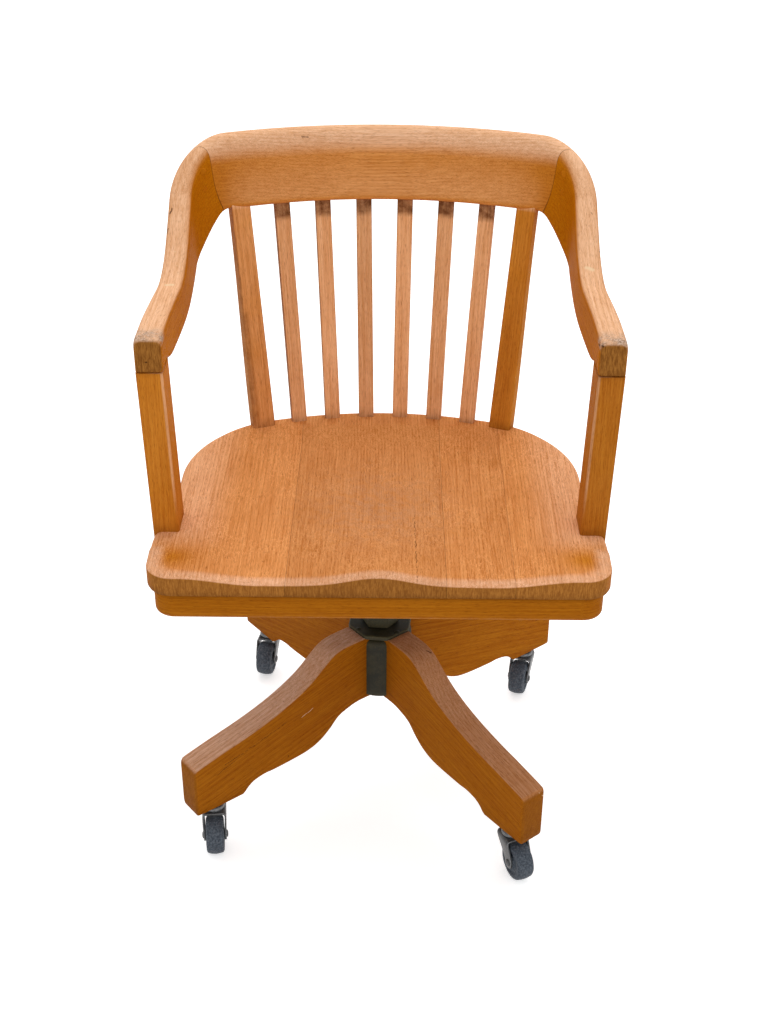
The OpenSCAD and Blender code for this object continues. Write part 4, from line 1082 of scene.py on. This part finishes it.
def fork_shape():
    # A bent sheet: down one cheek, over the crown and down the other
    cheek_y, shoulder_y, bend = 13.5, 14.4, 4.0
    path = [(-cheek_y, AXLE_HEIGHT - EYE_RADIUS * cos(a)) for a in arc(4, 90, 12)]
    path += [(blend(-cheek_y, -shoulder_y, ease(t)), blend(AXLE_HEIGHT, CROWN_HEIGHT - bend, t))
             for t in np.linspace(0.06, 1, 14)]
    path += [(-shoulder_y + bend * (1 - cos(a)), CROWN_HEIGHT - bend + bend * sin(a))
             for a in arc(12, 90, 7)]
    path += [(y, CROWN_HEIGHT) for y in np.linspace(-shoulder_y + bend + 2, -1, 6)]
    path += [(-y, z) for y, z in path[::-1]]
    path = np.array(path)
    rings = []
    for (y, z), d in zip(path, np.gradient(path, axis=0)):
        n = unit(np.array([-d[1], d[0]]))
        if z < AXLE_HEIGHT:
            reach = sqrt(max(EYE_RADIUS ** 2 - (AXLE_HEIGHT - z) ** 2, 0.6))
            back, front = CASTER_TRAIL - reach, CASTER_TRAIL + reach
        else:
            t = min((z - AXLE_HEIGHT) / (CROWN_HEIGHT - AXLE_HEIGHT), 1)
            back = blend(CASTER_TRAIL - EYE_RADIUS, -13, ease(t) * 0.35 + 0.65 * t)
            front = blend(CASTER_TRAIL + EYE_RADIUS, 16.5, ease((t - 0.1) / 0.9))
        section = soften(bar(back, front, -SHEET_HALF, SHEET_HALF), [0.7] * 4, 3)
        rings.append([(p[0], y + n[0] * p[1], z + n[1] * p[1]) for p in section])
    return loft(rings)


def build_casters():
    fork = joined(fork_shape(), turned(RACE_PROFILE, 48))
    wheel = swept(lambda a: WHEEL_PROFILE, 72)
    axle = turned(AXLE_HEAD + [(r, -y) for r, y in AXLE_HEAD[::-1]], 40)
    wear_and_highlight = 0.8 * wear_and_highlight_on_edges(*fork)
    for name, angle, turn in zip(LEG_NAMES, LEG_ANGLES, CASTER_TURNS):
        foot = radians(BASE_TURN + angle)
        shift = (CASTER_REACH * cos(foot), CASTER_REACH * sin(foot), 0)
        caster = f"{name}_caster"
        make_iron(f"{name}_fork", "steel", (turn_z(fork[0], turn, shift), fork[1]), caster, fork_steel,
                  "caster_steel", wear_and_highlight)
        centre = (CASTER_TRAIL, 0, AXLE_HEIGHT)
        wheel_at, axle_at = ((turn_z(points[:, [0, 2, 1]] + centre, turn, shift), faces)
                             for points, faces in (wheel, axle))
        make_iron(f"{name}_wheel", "round", wheel_at, f"{caster}_wheel", rubber, "caster_rubber", 0.0)
        make_iron(f"{name}_axle", "round", axle_at, caster, fork_steel, "bare_steel", 0.25)


# Hub: ribs between the legs, round at their upper ends, under an eight-sided plate

RIB_INNER, RIB_OUTER = 26, 42
RIB_BOTTOM, RIB_TOP = 137, 218
RIB_SPREAD = radians(19.6)
PLATE_REACH, PLATE_CORNER = 40.5, 17.0
PLATE_LEVELS = [(226.5, 5), (227.2, 2.2), (228.6, 0.6), (230.2, 0.1), (232.4, 0), (233.7, 0.4), (234.3, 1.2),
                (234.5, 2.6), (234.5, 18)]
SCREW_REACH = 36.5
SCREW_PROFILE = [(0.3, 234.4), (0.9, 234.9), (1.0, 235.6), (2.4, 235.4), (3.4, 234.9), (3.8, 234.2),
                 (3.6, 226), (0.4, 225)]


def hub_rib():
    heights = [(RIB_BOTTOM, 0.6), (RIB_BOTTOM + 0.4, 0.2), (RIB_BOTTOM + 1.2, 0)]
    heights += [(z, 0) for z in np.linspace(146, RIB_TOP, 13)]
    heights += [(RIB_TOP + 8 * sin(a), 7 * (1 - cos(a))) for a in arc(15, 90, 7)]
    rings = []
    for z, pull in heights:
        reach = RIB_OUTER - pull
        spread = RIB_SPREAD * (1 - pull / 22)
        outer = [(reach * cos(a), reach * sin(a)) for a in np.linspace(-spread, spread, 9)]
        reaches = [0.3] * 2 + [1.5] + [3] * 7 + [1.5]
        rings.append(level_ring(soften([(RIB_INNER, 0.4), (RIB_INNER, -0.4)] + outer, reaches, 2), z))
    return loft(rings)


def hub_plate():
    far, near = PLATE_REACH, PLATE_CORNER
    plate = np.array([(far, -near), (far, near), (near, far), (-near, far),
                      (-far, near), (-far, -near), (-near, -far), (near, -far)])
    return loft([level_ring(soften(plate * (1 - inset / far), [4] * 8, 4), z) for z, inset in PLATE_LEVELS])


def build_hub():
    rib, plate = hub_rib(), hub_plate()
    screw = turned(SCREW_PROFILE, 24)
    turns = [BASE_TURN + 90 * quarter for quarter in range(4)]
    ribs = [(turn_z(rib[0], turn), rib[1]) for turn in turns]
    hub = joined(*ribs, (turn_z(plate[0], BASE_TURN + 45), plate[1]))
    make_iron("hub", "iron", hub, "pedestal", dark_iron, "dark_iron", wear_and_highlight_on_edges(*hub, 0.8))
    screws = joined(*[(turn_z(screw[0] + (SCREW_REACH, 0, 0), turn + 45), screw[1]) for turn in turns])
    make_iron("hub_screws", "steel", screws, "pedestal", dark_iron, "bare_steel", 0.2, sharp=38)


# Height nut and tension knob, bored and swept round with a reach that changes with the angle

NUT_HALF_ACROSS = 22
NUT_CORNER = 24.7
NUT_BORE = 12.85
KNOB_BORE = 5.1
KNOB_REACH = 20.4
KNOB_LOBE = 2.5
KNOB_OFFSET = 62.0


def nut_profile(a):
    from_flat = (a + pi / 6) % (pi / 3) - pi / 6
    reach = min(NUT_HALF_ACROSS / cos(from_flat), NUT_CORNER)
    return [(NUT_BORE, 235.0), (reach - 1.4, 235.0), (reach, 236.2), (reach, 251.2), (reach - 1.0, 253.0),
            (min(reach - 1.6, 21.6), 254.5), (14.2, 254.5), (NUT_BORE, 253.6)]


def build_height_nut():
    points, faces = swept(nut_profile, 96)
    make_iron("height_nut", "iron", (turn_z(points, BASE_TURN + 30), faces), "height_adjuster", dark_iron,
              "dark_iron", 0.6 * wear_and_highlight_on_edges(points, faces, 0.9), sharp=32)


def build_knob():
    low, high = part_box("tension_knob")
    bottom = low[2] * 1000
    top = bottom + (high[2] - low[2]) * 1000 + 0.3

    def knob_profile(a):
        reach = KNOB_REACH + KNOB_LOBE * cos(6 * a)
        return [(KNOB_BORE, bottom), (12, bottom), (reach - 3, bottom + 1), (reach - 0.8, bottom + 3),
                (reach, bottom + 6), (reach, top - 6), (reach - 0.8, top - 3), (reach - 3, top - 1),
                (11, top - 0.3), (KNOB_BORE, top - 0.3)]
    knob = swept(knob_profile, 120, KNOB_OFFSET)
    make_iron("tension_knob", "iron", knob, "tension_adjuster", dark_iron, "dark_iron",
              0.35 * wear_and_highlight_on_edges(*knob, 0.9), sharp=38)


build_seat()
build_apron()
build_arm("left", -1, 0.0)
build_arm("right", 1, -0.02)
build_crest()
build_post("left", -1)
build_post("right", 1)
build_upright(-1, "left_back_stile")
for number in range(6):
    build_upright(number, f"back_slat_{number + 1}")
build_upright(6, "right_back_stile")
build_legs()
build_casters()
build_hub()
build_height_nut()
build_knob()

finishes = {
    "dark_iron": dark_iron, "bare_steel": bare_steel, "caster_steel": fork_steel, "caster_rubber": rubber,
    "oak_seat": oak_seat, "oak_back": oak_slats, "oak_arms": oak_bow, "oak_apron": oak_apron,
    "oak_legs": oak_legs}
for subpart in frame["record"]["subparts"]:
    solid = nodes[subpart["node"]]
    solid.data.materials.clear()
    solid.data.materials.append(finishes[subpart["material_slot"]])

scene.view_settings.view_transform = "Standard"
